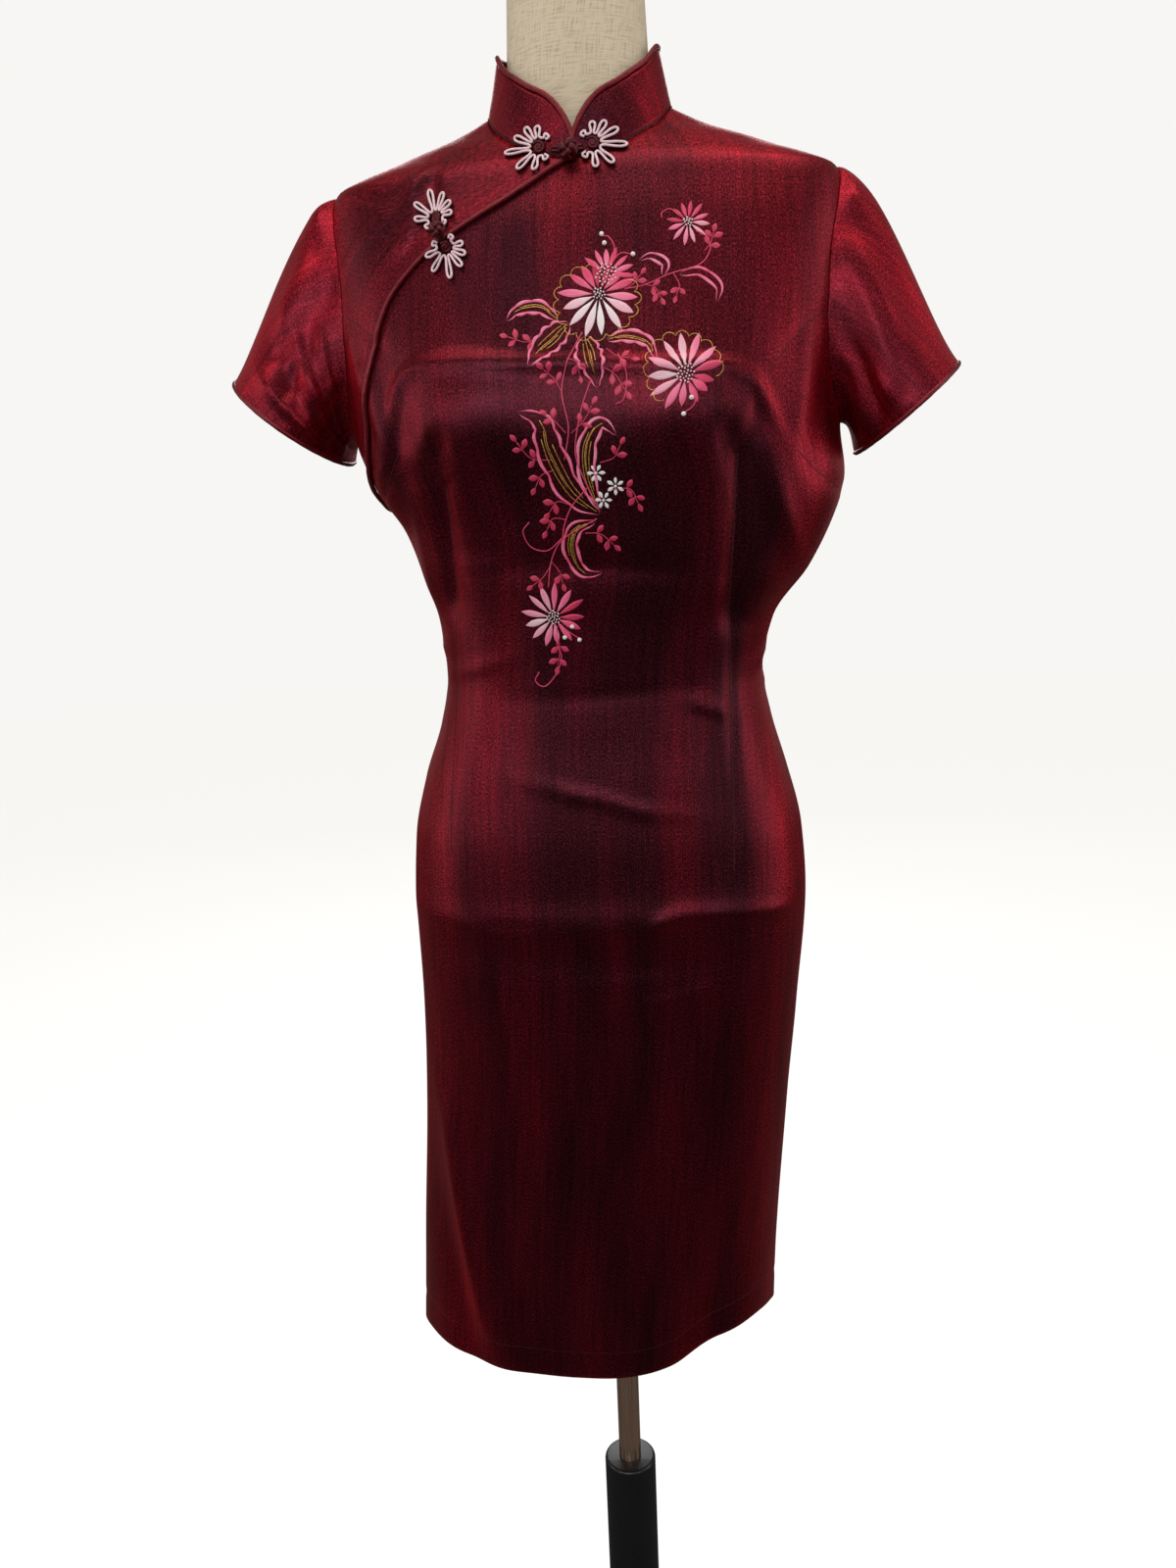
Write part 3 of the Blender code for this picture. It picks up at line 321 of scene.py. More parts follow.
# Darts and seams on the panels, as places on the front or back, from the wide end to the point
DARTS = (
    ("front", ((-0.1770, 1.346), (-0.1570, 1.333), (-0.1297, 1.3035))),
    ("front", ((0.1834, 1.334), (0.1640, 1.324), (0.1381, 1.2947))),
    ("front", ((-0.1608, 1.214), (-0.1500, 1.226), (-0.1370, 1.244))),
    ("front", ((0.1911, 1.2073), (0.1760, 1.218), (0.1579, 1.2344))),
    ("front", (
        (-0.1016, 1.218), (-0.1030, 1.169), (-0.1080, 1.109), (-0.1133, 1.042), (-0.1157, 0.974),
        (-0.1176, 0.936),
    )),
    ("front", (
        (0.1161, 1.2346), (0.1122, 1.193), (0.1070, 1.093), (0.1071, 1.042), (0.1078, 0.973),
        (0.1071, 0.921),
    )),
    ("back", (
        (-0.0820, 1.215), (-0.0800, 1.150), (-0.0780, 1.068), (-0.0800, 0.990), (-0.0830, 0.930),
    )),
    ("back", ((0.0840, 1.215), (0.0810, 1.150), (0.0790, 1.068), (0.0800, 0.990), (0.0830, 0.930))),
)
DART_HALF_WIDTH = 4.5 * MM
DART_DEPTH = 1.1 * MM
DART_FADE = 0.35
DART_THREAD = 0.42 * MM
HEM_TURN_UP = 25.0 * MM
HEM_STITCH_DEPTH = 0.55 * MM
HEM_STITCH_HALF_WIDTH = 4.0 * MM
HEM_STITCH = 0.30 * MM

# How finely the shells are divided
SKIRT_ROWS = 170
ARMHOLE_ROWS = 50
SHOULDER_ROWS = 24
BRIDGE_ROWS = 6
UNDERARM_ROWS = 14
FRONT_COLUMNS = 180
UNDERLAP_COLUMNS = 84
BACK_COLUMNS = 170
SLEEVE_AROUND = 2 * ARMHOLE_ROWS
SLEEVE_ROWS = 64
COLLAR_COLUMNS = 300
COLLAR_ROWS = 14
TINY_ANGLE = 0.004
TINY_HEIGHT = 0.0006
ALMOST_ONE = 0.9999
HALVINGS = 40
MERGE = 0.02 * MM


class SmoothCurve:
    """A smooth line through table values that never overshoots them; takes arrays."""

    def __init__(self, stations, values):
        self.stations = np.array(stations, float)
        self.values = np.array(values, float)
        self.widths = np.diff(self.stations)
        steps = np.diff(self.values) / self.widths
        before, after = steps[:-1], steps[1:]
        rising = before * after > 0.0
        total = np.where(rising, before + after, 1.0)
        middle = np.where(rising, 2.0 * before * after / total, 0.0)
        self.slopes = np.concatenate(([steps[0]], middle, [steps[-1]]))

    def __call__(self, station):
        station = np.asarray(station, float)
        inside = np.clip(station, self.stations[0], self.stations[-1])
        last = len(self.widths) - 1
        k = np.clip(np.searchsorted(self.stations, inside, side="right") - 1, 0, last)
        width = self.widths[k]
        t = (inside - self.stations[k]) / width
        value = (
            (1 + 2 * t) * (1 - t) ** 2 * self.values[k]
            + t * (1 - t) ** 2 * width * self.slopes[k]
            + t * t * (3 - 2 * t) * self.values[k + 1]
            - t * t * (1 - t) * width * self.slopes[k + 1]
        )
        below = np.minimum(station - self.stations[0], 0.0) * self.slopes[0]
        above = np.maximum(station - self.stations[-1], 0.0) * self.slopes[-1]
        return value + below + above


def read_table(rows, columns):
    """One smooth curve for each column of a table, against its first column."""
    stations = [row[0] for row in rows]
    return {
        name: SmoothCurve(stations, [row[k] for row in rows])
        for k, name in enumerate(columns)
        if k > 0
    }


SECTION = read_table(SECTIONS, SECTION_COLUMNS)
HEM_LINE = read_table(HEM, HEM_COLUMNS)
FORM_SLACK = read_table(FORM_EASE, FORM_EASE_COLUMNS)


def signed_power(value, power):
    return np.copysign(np.abs(value) ** power, value)


def smooth_step(value, start, end):
    t = np.clip((value - start) / (end - start), 0.0, 1.0)
    return t * t * (3.0 - 2.0 * t)


def unit(rows):
    return rows / np.maximum(np.linalg.norm(rows, axis=-1, keepdims=True), 1e-12)


def bell(along, across):
    return np.exp(-(along ** 2) - across ** 2)


def lengths_along(path):
    """Length run along a path, 0 at its first point."""
    steps = np.linalg.norm(np.diff(path, axis=0), axis=1)
    return np.concatenate(([0.0], np.cumsum(steps)))


def level_direction(angle):
    return np.stack([np.cos(angle), np.sin(angle), np.zeros_like(angle)], axis=-1)


def row_for(rows, key):
    """The row of a table that starts with this key."""
    return next(row for row in rows if row[0] == key)


def plain_surface(turn, height, inset=0.0):
    """Points of the garment before its folds; turn 0 is +X, -90 degrees the middle front."""
    turn, height = np.broadcast_arrays(np.asarray(turn, float), np.asarray(height, float))
    power = 2.0 / ROUNDNESS
    across = signed_power(np.cos(turn), power)
    deep = signed_power(np.sin(turn), power)
    forward = deep < 0.0
    half_width = SECTION["half_width"](height) - inset
    reach = np.where(forward, SECTION["front"](height), SECTION["back"](height))
    x = SECTION["centre_x"](height) + half_width * across
    y = np.maximum(reach - inset, 0.0) * deep
    for middle in (-CUP_X, CUP_X):
        cup = bell((height - CUP_HEIGHT) / CUP_TALL, (x - middle) / CUP_WIDE)
        y = y - np.where(forward, CUP_REACH * cup * np.abs(deep), 0.0)
    return np.stack([x, y, height], axis=-1)


def surface_normal(turn, height):
    turn, height = np.asarray(turn, float), np.asarray(height, float)
    along = plain_surface(turn + TINY_ANGLE, height) - plain_surface(turn - TINY_ANGLE, height)
    upward = plain_surface(turn, height + TINY_HEIGHT) - plain_surface(turn, height - TINY_HEIGHT)
    return unit(np.cross(along, upward))


def through(stops, steps):
    """A smooth path through given points, steps to each span."""
    stops = np.array(stops, float)
    padded = np.vstack((2 * stops[0] - stops[1], stops, 2 * stops[-1] - stops[-2]))
    t = np.arange(steps)[:, None] / steps
    pieces = []
    for a, b, c, d in zip(padded, padded[1:], padded[2:], padded[3:]):
        pieces.append(
            0.5 * (2 * b + (c - a) * t + (2 * a - 5 * b + 4 * c - d) * t ** 2
                   + (3 * b - a - 3 * c + d) * t ** 3)
        )
    return np.vstack(pieces + [stops[-1:]])


def near_line(point_x, point_z, stops):
    """Distance to a drawn line, and how far along it the nearest place is (0 to 1)."""
    best = np.full(point_x.shape, np.inf)
    share = np.zeros(point_x.shape)
    spans = [math.dist(a, b) for a, b in zip(stops, stops[1:])]
    run = 0.0
    for (ax, az), (bx, bz), span in zip(stops, stops[1:], spans):
        t = ((point_x - ax) * (bx - ax) + (point_z - az) * (bz - az)) / span ** 2
        t = np.clip(t, 0.0, 1.0)
        gap = np.hypot(point_x - ax - t * (bx - ax), point_z - az - t * (bz - az))
        closer = gap < best
        best = np.where(closer, gap, best)
        share = np.where(closer, (run + t * span) / sum(spans), share)
        run += span
    return best, share


def fold_rise(point, turn):
    """How far the folds, creases and darts lift the cloth."""
    forward = np.sin(turn) < 0.0
    face_on = smooth_step(np.abs(np.sin(turn)), *FACE_SHOWS)
    side_on = smooth_step(np.abs(np.cos(turn)), *SIDE_SHOWS)
    rightward = np.cos(turn) > 0.0
    shown = {
        "front": forward * face_on,
        "back": ~forward * face_on,
        "right": rightward * side_on,
        "left": ~rightward * side_on,
    }
    rise = np.zeros(point.shape[:-1])
    for face, place, height, tilt, half_length, half_width, size, bend in LARGE_FOLDS + CREASES:
        lean = math.radians(tilt)
        aside = point[..., 0] if face in ("front", "back") else point[..., 1]
        dx, dz = aside - place, point[..., 2] - height
        along = dx * math.cos(lean) + dz * math.sin(lean)
        across = -dx * math.sin(lean) + dz * math.cos(lean) - bend * along * along
        rise = rise + shown[face] * size * bell(along / half_length, across / half_width)
    for face, half_width, size, line in DRAWN_FOLDS:
        gap, share = near_line(point[..., 0], point[..., 2], through(line, DRAWN_STEPS))
        ends = smooth_step(share, 0.0, FOLD_END) * (1.0 - smooth_step(share, 1.0 - FOLD_END, 1.0))
        rise = rise + shown[face] * size * ends * np.exp(-((gap / half_width) ** 2))
    for face, stops in DARTS:
        gap, share = near_line(point[..., 0], point[..., 2], stops)
        fade = smooth_step(1.0 - share, 0.0, DART_FADE)
        facing = forward if face == "front" else ~forward
        rise = rise - facing * DART_DEPTH * fade * np.exp(-((gap / DART_HALF_WIDTH) ** 2))
    sewn = HEM_LINE["height"](np.degrees(turn)) + HEM_TURN_UP
    gap = np.abs(point[..., 2] - sewn)
    return rise - HEM_STITCH_DEPTH * np.exp(-((gap / HEM_STITCH_HALF_WIDTH) ** 2))


def garment(turn, height, lift=0.0):
    """Points of the worn cloth, its folds included, raised off it by lift."""
    point = plain_surface(turn, height)
    rise = fold_rise(point, np.broadcast_to(turn, point.shape[:-1]))
    return point + surface_normal(turn, height) * (rise + lift)[..., None]


def turn_on_front(x, height):
    """The turn at which the front of the garment stands over x."""
    ratio = (x - SECTION["centre_x"](height)) / SECTION["half_width"](height)
    ratio = np.clip(ratio, -ALMOST_ONE, ALMOST_ONE)
    return -np.arccos(signed_power(ratio, ROUNDNESS / 2.0))


def on_front(x, height, lift=0.0):
    x, height = np.asarray(x, float), np.asarray(height, float)
    return garment(turn_on_front(x, height), height, lift)


def neck_turn(angle):
    """Turn and height at which the garment meets the neck ring, seen from above."""
    angle = np.asarray(angle, float)
    x = NECK_HALF_WIDTH * np.cos(angle)
    y = np.where(np.sin(angle) < 0.0, NECK_FRONT, NECK_BACK) * np.sin(angle)
    low = np.full(angle.shape, NECK_LOWEST)
    high = np.full(angle.shape, NECK_HIGHEST)
    for _ in range(HALVINGS):
        height = 0.5 * (low + high)
        reach = np.where(y < 0.0, SECTION["front"](height), SECTION["back"](height))
        aside = (x + NECK_CENTRE_X - SECTION["centre_x"](height)) / SECTION["half_width"](height)
        outside = np.abs(aside) ** ROUNDNESS + np.abs(y / reach) ** ROUNDNESS > 1.0
        high = np.where(outside, height, high)
        low = np.where(outside, low, height)
    half = ROUNDNESS / 2.0
    return np.arctan2(signed_power(y / reach, half), signed_power(aside, half)), height


def armhole(share, side, forward):
    """Turn and height on the armhole, from the underarm (0) to the shoulder point (1)."""
    share = np.asarray(share, float)
    middle = 0.5 * (UNDERARM + SHOULDER_POINT)
    height = middle - 0.5 * (SHOULDER_POINT - UNDERARM) * np.cos(math.pi * share)
    swing = np.sin(math.pi * share)
    turn = np.where(forward, -ARMHOLE_FRONT * swing, ARMHOLE_BACK * swing)
    if side < 0:
        turn = np.where(forward, -math.pi, math.pi) - turn
    return turn, height


def side_edge(side, forward, with_skirt):
    """Turns and heights up a side seam, an armhole and a shoulder seam."""
    flat = 0.0 if side > 0 else (-math.pi if forward else math.pi)
    turns, heights = [], []
    if with_skirt:
        share = np.arange(SKIRT_ROWS) / SKIRT_ROWS
        turns.append(np.full(SKIRT_ROWS, flat))
        heights.append(HEM_HEIGHT + (UNDERARM - HEM_HEIGHT) * share)
    turn, height = armhole(np.arange(ARMHOLE_ROWS) / ARMHOLE_ROWS, side, forward)
    turns.append(turn)
    heights.append(height)
    neck_height = neck_turn(0.0)[1]
    share = np.arange(SHOULDER_ROWS + 1) / SHOULDER_ROWS
    turns.append(np.full(SHOULDER_ROWS + 1, flat))
    heights.append(SHOULDER_POINT + (neck_height - SHOULDER_POINT) * share)
    return np.concatenate(turns), np.concatenate(heights)


def placket_edge(rows):
    """Turns and heights up the edge of the overlapping front."""
    front_turn, front_height = neck_turn(-0.5 * math.pi)
    neck_x = plain_surface(front_turn, front_height)[..., 0]
    points = np.array(PLACKET + ((float(neck_x), float(front_height)),))
    lengths = lengths_along(points)
    at = lengths[-1] * np.arange(rows + 1) / rows
    height = SmoothCurve(lengths, points[:, 1])(at)
    return turn_on_front(SmoothCurve(lengths, points[:, 0])(at), height), height


def panel(left, right, top, columns, has_hem):
    """Grids of turn and height between two side edges, bent to the neckline and the hem."""
    share = np.arange(columns + 1)[None, :] / columns
    low_turn, low_height = left[0][:, None], left[1][:, None]
    turn = low_turn + (right[0][:, None] - low_turn) * share
    height = low_height + (right[1][:, None] - low_height) * share
    pull = smooth_step(height, NECK_BLEND_FROM, NECK_BLEND_TO)
    pull[0, :] = 0.0
    pull[-1, :] = 1.0
    straight_turn = top[0][0] + (top[0][-1] - top[0][0]) * share
    straight_height = top[1][0] + (top[1][-1] - top[1][0]) * share
    turn = turn + pull * (top[0][None, :] - straight_turn)
    height = height + pull * (top[1][None, :] - straight_height)
    if has_hem:
        hem_pull = 1.0 - smooth_step(height, HEM_HEIGHT, HEM_HEIGHT + HEM_BLEND)
        height = height + hem_pull * (HEM_LINE["height"](np.degrees(turn)) - HEM_HEIGHT)
    return turn, height


def trim_edges(grid):
    """Draw each free edge in by half a seam, so that neighbours stand a seam apart."""
    trim = 0.5 * SEAM
    grid = grid.copy()
    grid[:, 0] += unit(grid[:, 1] - grid[:, 0]) * trim
    grid[:, -1] += unit(grid[:, -2] - grid[:, -1]) * trim
    grid[0] += unit(grid[1] - grid[0]) * trim
    grid[-1] += unit(grid[-2] - grid[-1]) * trim
    return grid


# Mesh helpers


def arc_lengths(grid, axis):
    """Length run along the rows (axis 1) or up the columns (axis 0) of a grid of points."""
    steps = np.linalg.norm(np.diff(grid, axis=axis), axis=-1)
    start = np.zeros_like(np.take(steps, [0], axis=axis))
    return np.concatenate((start, np.cumsum(steps, axis=axis)), axis=axis)


def lay_grid(work, points, across, along, tone=None, closed=False):
    """Add a grid of faces laid on a grid of points, with its cloth map in metres."""
    rows, columns = points.shape[0] - 1, points.shape[1] - 1
    cloth_map = work.loops.layers.uv.verify()
    tones = work.verts.layers.float.get("tone") or work.verts.layers.float.new("tone")
    made = bmesh.ops.create_grid(work, x_segments=columns, y_segments=rows, size=1.0)["verts"]
    places = {}
    for vert in made:
        column = round((vert.co.x + 1.0) * 0.5 * columns)
        row = round((vert.co.y + 1.0) * 0.5 * rows)
        places[vert] = (row, column)
        vert.co = points[row, column]
        vert[tones] = 0.0 if tone is None else float(tone[row, column])
    for face in {face for vert in made for face in vert.link_faces}:
        for loop in face.loops:
            row, column = places[loop.vert]
            loop[cloth_map].uv = (across[row, column], along[row, column])
    if closed:
        bmesh.ops.remove_doubles(work, verts=made, dist=MERGE)
    return made


def sheet_mesh(name, points, across, along, outward, closed=False):
    """A mesh of one sheet whose faces look the way that the outward rows point."""
    work = bmesh.new()
    raised = points + np.array((0.0, 0.0, RAISE))
    lay_grid(work, raised, across, along, closed=closed)
    work.normal_update()
    sample = outward.reshape(-1, 3)
    middle = Vector(raised.reshape(-1, 3)[len(sample) // 2])
    nearest = min(work.faces, key=lambda face: (face.calc_center_median() - middle).length)
    if nearest.normal.dot(Vector(sample[len(sample) // 2])) < 0.0:
        bmesh.ops.reverse_faces(work, faces=work.faces)
    return to_object(name, work)


def to_object(name, work, smooth=True):
    mesh = bpy.data.meshes.new(name)
    work.to_mesh(mesh)
    work.free()
    for face in mesh.polygons:
        face.use_smooth = smooth
    made = bpy.data.objects.new(name, mesh)
    bpy.context.scene.collection.objects.link(made)
    return made


def thicken(piece):
    wall = piece.modifiers.new("cloth thickness", "SOLIDIFY")
    wall.thickness = CLOTH
    wall.offset = -1.0
    wall.use_rim = True


def join_body(piece, material, slot, *nodes):
    piece.data.materials.append(material)
    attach(piece, "root")
    if nodes:
        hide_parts(*nodes)


# Cloth pieces


def measure(points):
    """Width, length and area of a sheet as it lies flat, from its own grid."""
    width = arc_lengths(points, 1)[:, -1].max()
    length = arc_lengths(points, 0)[-1, :].max()
    one, two = points[1:, 1:] - points[:-1, :-1], points[1:, :-1] - points[:-1, 1:]
    area = 0.5 * np.linalg.norm(np.cross(one, two), axis=-1).sum()
    return float(width), float(length), float(area)


def declare_cloth(points):
    width, length, area = measure(points)
    area = min(area, width * length)


def make_panel(name, cells, middle_turn, material):
    turn, height = cells
    points = trim_edges(garment(turn, height))
    across = arc_lengths(points, 1)
    order = 1.0 if turn[0, -1] > turn[0, 0] else -1.0
    for row in range(len(across)):
        across[row] -= np.interp(order * middle_turn, order * turn[row], across[row])
    piece = sheet_mesh(name, points, across, height, surface_normal(turn, height))
    thicken(piece)
    join_body(piece, material, "satin", name.replace("_cloth", "_panel"))
    declare_cloth(points)


def bridged(edge, row):
    """An edge with more rows between one row and the next, where the placket starts."""
    share = np.arange(1, BRIDGE_ROWS + 1) / (BRIDGE_ROWS + 1)
    return tuple(
        np.insert(part, row + 1, part[row] + (part[row + 1] - part[row]) * share) for part in edge
    )


def make_panels(material):
    """Front with its curved edge, the underlap behind that edge, and the back."""
    upper_rows = ARMHOLE_ROWS + SHOULDER_ROWS
    right = side_edge(1, True, True)
    placket_turn, placket_height = placket_edge(upper_rows)
    side_height = HEM_HEIGHT + (SIDE_CORNER - HEM_HEIGHT) * np.arange(SKIRT_ROWS) / (SKIRT_ROWS - 1)
    left = (
        np.concatenate((np.full(SKIRT_ROWS, -math.pi), placket_turn)),
        np.concatenate((side_height, placket_height)),
    )
    left, right = bridged(left, SKIRT_ROWS - 1), bridged(right, SKIRT_ROWS - 1)
    top = neck_turn(np.linspace(-0.5 * math.pi, 0.0, FRONT_COLUMNS + 1))
    cells = panel(left, right, top, FRONT_COLUMNS, True)
    make_panel("front_cloth", cells, -0.5 * math.pi, material)

    turn, height = side_edge(-1, True, False)
    below = np.arange(UNDERARM_ROWS) / UNDERARM_ROWS
    side = (
        np.concatenate((np.full(UNDERARM_ROWS, -math.pi), turn)),
        np.concatenate((SIDE_CORNER + (UNDERARM - SIDE_CORNER) * below, height)),
    )
    corner = (1.0 - below) * TINY_HEIGHT
    edge = (
        np.concatenate((np.full(UNDERARM_ROWS, placket_turn[0]), placket_turn)),
        np.concatenate((placket_height[0] - corner, placket_height)),
    )
    top = neck_turn(np.linspace(-math.pi, -0.5 * math.pi, UNDERLAP_COLUMNS + 1))
    cells = panel(side, edge, top, UNDERLAP_COLUMNS, False)
    make_panel("underlap_cloth", cells, -0.5 * math.pi, material)

    right, left = side_edge(1, False, True), side_edge(-1, False, True)
    top = neck_turn(np.linspace(0.0, math.pi, BACK_COLUMNS + 1))
    cells = panel(right, left, top, BACK_COLUMNS, True)
    make_panel("back_cloth", cells, 0.5 * math.pi, material)


def cuff_frame(side):
    outer_x, outer_height, inner_x, inner_height = row_for(CUFFS, side)[1:]
    outer = np.array((side * outer_x, CUFF_CENTRE_Y, outer_height))
    inner = np.array((side * inner_x, CUFF_CENTRE_Y, inner_height))
    across = 0.5 * (outer - inner)
    down = unit(np.array((across[2] * side, 0.0, -abs(across[0]))))
    return 0.5 * (outer + inner), across, down


def cuff_point(side, turn, grow=0.0, drop=0.0):
    """Points of the cuff's mouth; turn 0 is at the underarm and goes round by the front."""
    centre, across, down = cuff_frame(side)
    wide = across * (1.0 + grow / np.linalg.norm(across))
    forward = np.array((0.0, -(CUFF_HALF_DEPTH + grow), 0.0))
    cos, sin = np.cos(turn)[..., None], np.sin(turn)[..., None]
    return centre - wide * cos + forward * sin + down * drop


# Soft dents and ridges of the sleeves.  Turn is degrees round from the underarm by the front; share
# runs from the armhole (0) to the cuff (1); slant is degrees of turn gained down the sleeve.
# Columns: side, turn, share, width in turn, width in share, slant, rise.
SLEEVE_CREASES = (
    (1, 110.0, 0.40, 6.0, 0.20, -26.0, 0.0030),
    (1, 74.0, 0.68, 6.0, 0.16, 18.0, 0.0026),
    (1, 50.0, 0.30, 6.0, 0.14, -14.0, -0.0026),
    (1, 96.0, 0.42, 9.0, 0.42, -34.0, 0.0036),
    (1, 66.0, 0.50, 9.0, 0.40, -24.0, -0.0050),
    (1, 40.0, 0.60, 9.0, 0.30, -12.0, 0.0030),
    (1, 128.0, 0.55, 12.0, 0.34, 10.0, -0.0030),
    (1, 84.0, 0.84, 9.0, 0.12, 0.0, -0.0016),
    (1, 140.0, 0.12, 10.0, 0.12, 0.0, 0.0030),
    (1, 168.0, 0.10, 9.0, 0.12, 0.0, -0.0016),
    (1, 20.0, 0.36, 8.0, 0.30, 6.0, 0.0022),
    (1, 235.0, 0.40, 12.0, 0.36, 20.0, 0.0030),
    (1, 275.0, 0.50, 11.0, 0.34, 12.0, -0.0034),
    (1, 318.0, 0.52, 10.0, 0.30, 4.0, 0.0026),
    (-1, 108.0, 0.58, 6.0, 0.16, 26.0, -0.0034),
    (-1, 80.0, 0.70, 6.0, 0.14, 20.0, 0.0028),
    (-1, 58.0, 0.34, 6.0, 0.16, -20.0, 0.0026),
    (-1, 92.0, 0.48, 10.0, 0.40, -26.0, -0.0038),
    (-1, 122.0, 0.36, 12.0, 0.24, -16.0, 0.0040),
    (-1, 66.0, 0.62, 10.0, 0.28, -16.0, 0.0034),
    (-1, 104.0, 0.78, 12.0, 0.13, 0.0, 0.0022),
    (-1, 44.0, 0.40, 8.0, 0.34, -6.0, -0.0030),
    (-1, 150.0, 0.12, 14.0, 0.12, 0.0, 0.0036),
    (-1, 128.0, 0.20, 8.0, 0.10, 0.0, -0.0022),
    (-1, 22.0, 0.46, 7.0, 0.34, 4.0, 0.0024),
    (-1, 70.0, 0.28, 30.0, 0.060, 0.0, 0.0024),
    (-1, 78.0, 0.50, 40.0, 0.055, 0.0, 0.0030),
    (-1, 88.0, 0.65, 34.0, 0.075, 0.0, -0.0032),
    (-1, 82.0, 0.80, 36.0, 0.050, 0.0, 0.0026),
    (-1, 228.0, 0.42, 12.0, 0.36, 18.0, 0.0032),
    (-1, 268.0, 0.50, 11.0, 0.34, 10.0, -0.0032),
    (-1, 312.0, 0.50, 10.0, 0.30, 2.0, 0.0026),
)
CUFF_PUCKERS = 26
CUFF_PUCKER_RISE = 0.28 * MM
CUFF_PUCKER_REACH = 0.10
CUFF_PUCKER_DRIFT = 1.4
SLEEVE_CREASES_FROM = 0.12
SLEEVE_CALM_FROM = 0.86
SLEEVE_CALM = 0.8


def sleeve_surface(side):
    """Grid of points of one sleeve, from armhole to cuff, all round, with its creases."""
    turn = 2.0 * math.pi * np.arange(SLEEVE_AROUND + 1) / SLEEVE_AROUND
    share = (np.arange(SLEEVE_ROWS + 1) / SLEEVE_ROWS)[:, None]
    forward = np.arange(SLEEVE_AROUND + 1) < ARMHOLE_ROWS
    climb = np.arange(SLEEVE_AROUND + 1) / ARMHOLE_ROWS
    climb = np.where(forward, climb, 2.0 - climb)
    loop = garment(*armhole(climb, side, forward))
    loop[-1] = loop[0]
    high = (0.5 - 0.5 * np.cos(turn))[:, None]
    start = loop + np.array((side * SEAM, 0.0, 0.0))
    end = cuff_point(side, turn)
    down = cuff_frame(side)[2]
    outward = unit(np.array((side * CAP_OUTWARD[0], 0.0, CAP_OUTWARD[2])))
    low_push = np.array((side * UNDERARM_PUSH, 0.0, 0.0))
    push = low_push * (1.0 - high) + outward * CAP_PUSH * high
    pull = down * (CUFF_PULL_LOW * (1.0 - high) + CUFF_PUSH * high)
    t = share[..., None]
    points = (
        start * ((1 + 2 * t) * (1 - t) ** 2)
        + push * (t * (1 - t) ** 2)
        + end * (t * t * (3 - 2 * t))
        - pull * (t * t * (1 - t))
    )
    facing = grid_normals(points, side)
    rise = np.zeros(points.shape[:2])
    degrees = np.degrees(turn)[None, :]
    for crease_side, at_turn, at_share, wide, tall, slant, size in SLEEVE_CREASES:
        if crease_side == side:
            around = (degrees - at_turn - slant * (share - at_share) + 180.0) % 360.0 - 180.0
            rise += size * bell((share - at_share) / tall, around / wide)
    calm = 1.0 - SLEEVE_CALM * smooth_step(share, SLEEVE_CALM_FROM, 1.0)
    rise *= smooth_step(share, 0.0, SLEEVE_CREASES_FROM) * calm
    wave = np.sin(turn * CUFF_PUCKERS + CUFF_PUCKER_DRIFT * np.sin(3.0 * turn))[None, :]
    rise += CUFF_PUCKER_RISE * wave * np.exp(-(((1.0 - share) / CUFF_PUCKER_REACH) ** 2))
    points = points + facing * rise[..., None]
    points[:, -1] = points[:, 0]
    return points, grid_normals(points, side)


def grid_normals(points, side):
    """Outward normals of a sleeve's grid, which is closed round its columns."""
    around = np.roll(points[:, :-1], -1, axis=1) - np.roll(points[:, :-1], 1, axis=1)
    around = np.concatenate((around, around[:, :1]), axis=1)
    down = np.gradient(points, axis=0)
    facing = unit(np.cross(around, down) * side)
    centre = points.mean(axis=1, keepdims=True)
    if (facing * (points - centre)).sum() < 0.0:
        facing = -facing
    return facing


def make_sleeve(name, side, material):
    points, facing = sleeve_surface(side)
    across = arc_lengths(points, 1)
    along = arc_lengths(points, 0)
    piece = sheet_mesh(name + "_cloth", points, across, along, facing, closed=True)
    thicken(piece)
    join_body(piece, material, "satin", name)
    declare_cloth(points)


def collar_angle(share):
    gap = COLLAR_FRONT_GAP / NECK_FRONT
    return -0.5 * math.pi + gap + (2.0 * math.pi - 2.0 * gap) * share


def collar_share(k, count):
    """Columns stand closer together at the rounded front corners."""
    t = k / count
    return t - COLLAR_CROWDING * np.sin(2.0 * math.pi * t)


def collar_rise(share):
    """Height of the band at one place: full, but rounded away at its front corners."""
    angle = collar_angle(share)
    around = NECK_FRONT * np.minimum(angle + 0.5 * math.pi, 1.5 * math.pi - angle)
    short = np.maximum(1.0 - around / COLLAR_FRONT_ROUND, 0.0)
    height = COLLAR_HEIGHT * np.sqrt(np.maximum(1.0 - short ** COLLAR_CORNER_POWER, 0.0))
    return np.maximum(height, COLLAR_SHORTEST)


def collar_point(share, rise, outward=0.0):
    angle = collar_angle(share)
    base = plain_surface(*neck_turn(angle))
    lean = COLLAR_LEAN * rise / COLLAR_HEIGHT
    above = np.stack([np.zeros_like(rise), np.zeros_like(rise), COLLAR_LIFT + rise], axis=-1)
    return base + above - level_direction(angle) * np.asarray(lean - outward)[..., None]


COLLAR_EDGE_STEP = 0.35 * MM
COLLAR_EDGE_BAND = 0.10
COLLAR_WAVE_RISE = 0.5 * MM
COLLAR_WAVES = 7.0
COLLAR_WAVE_START = 0.6


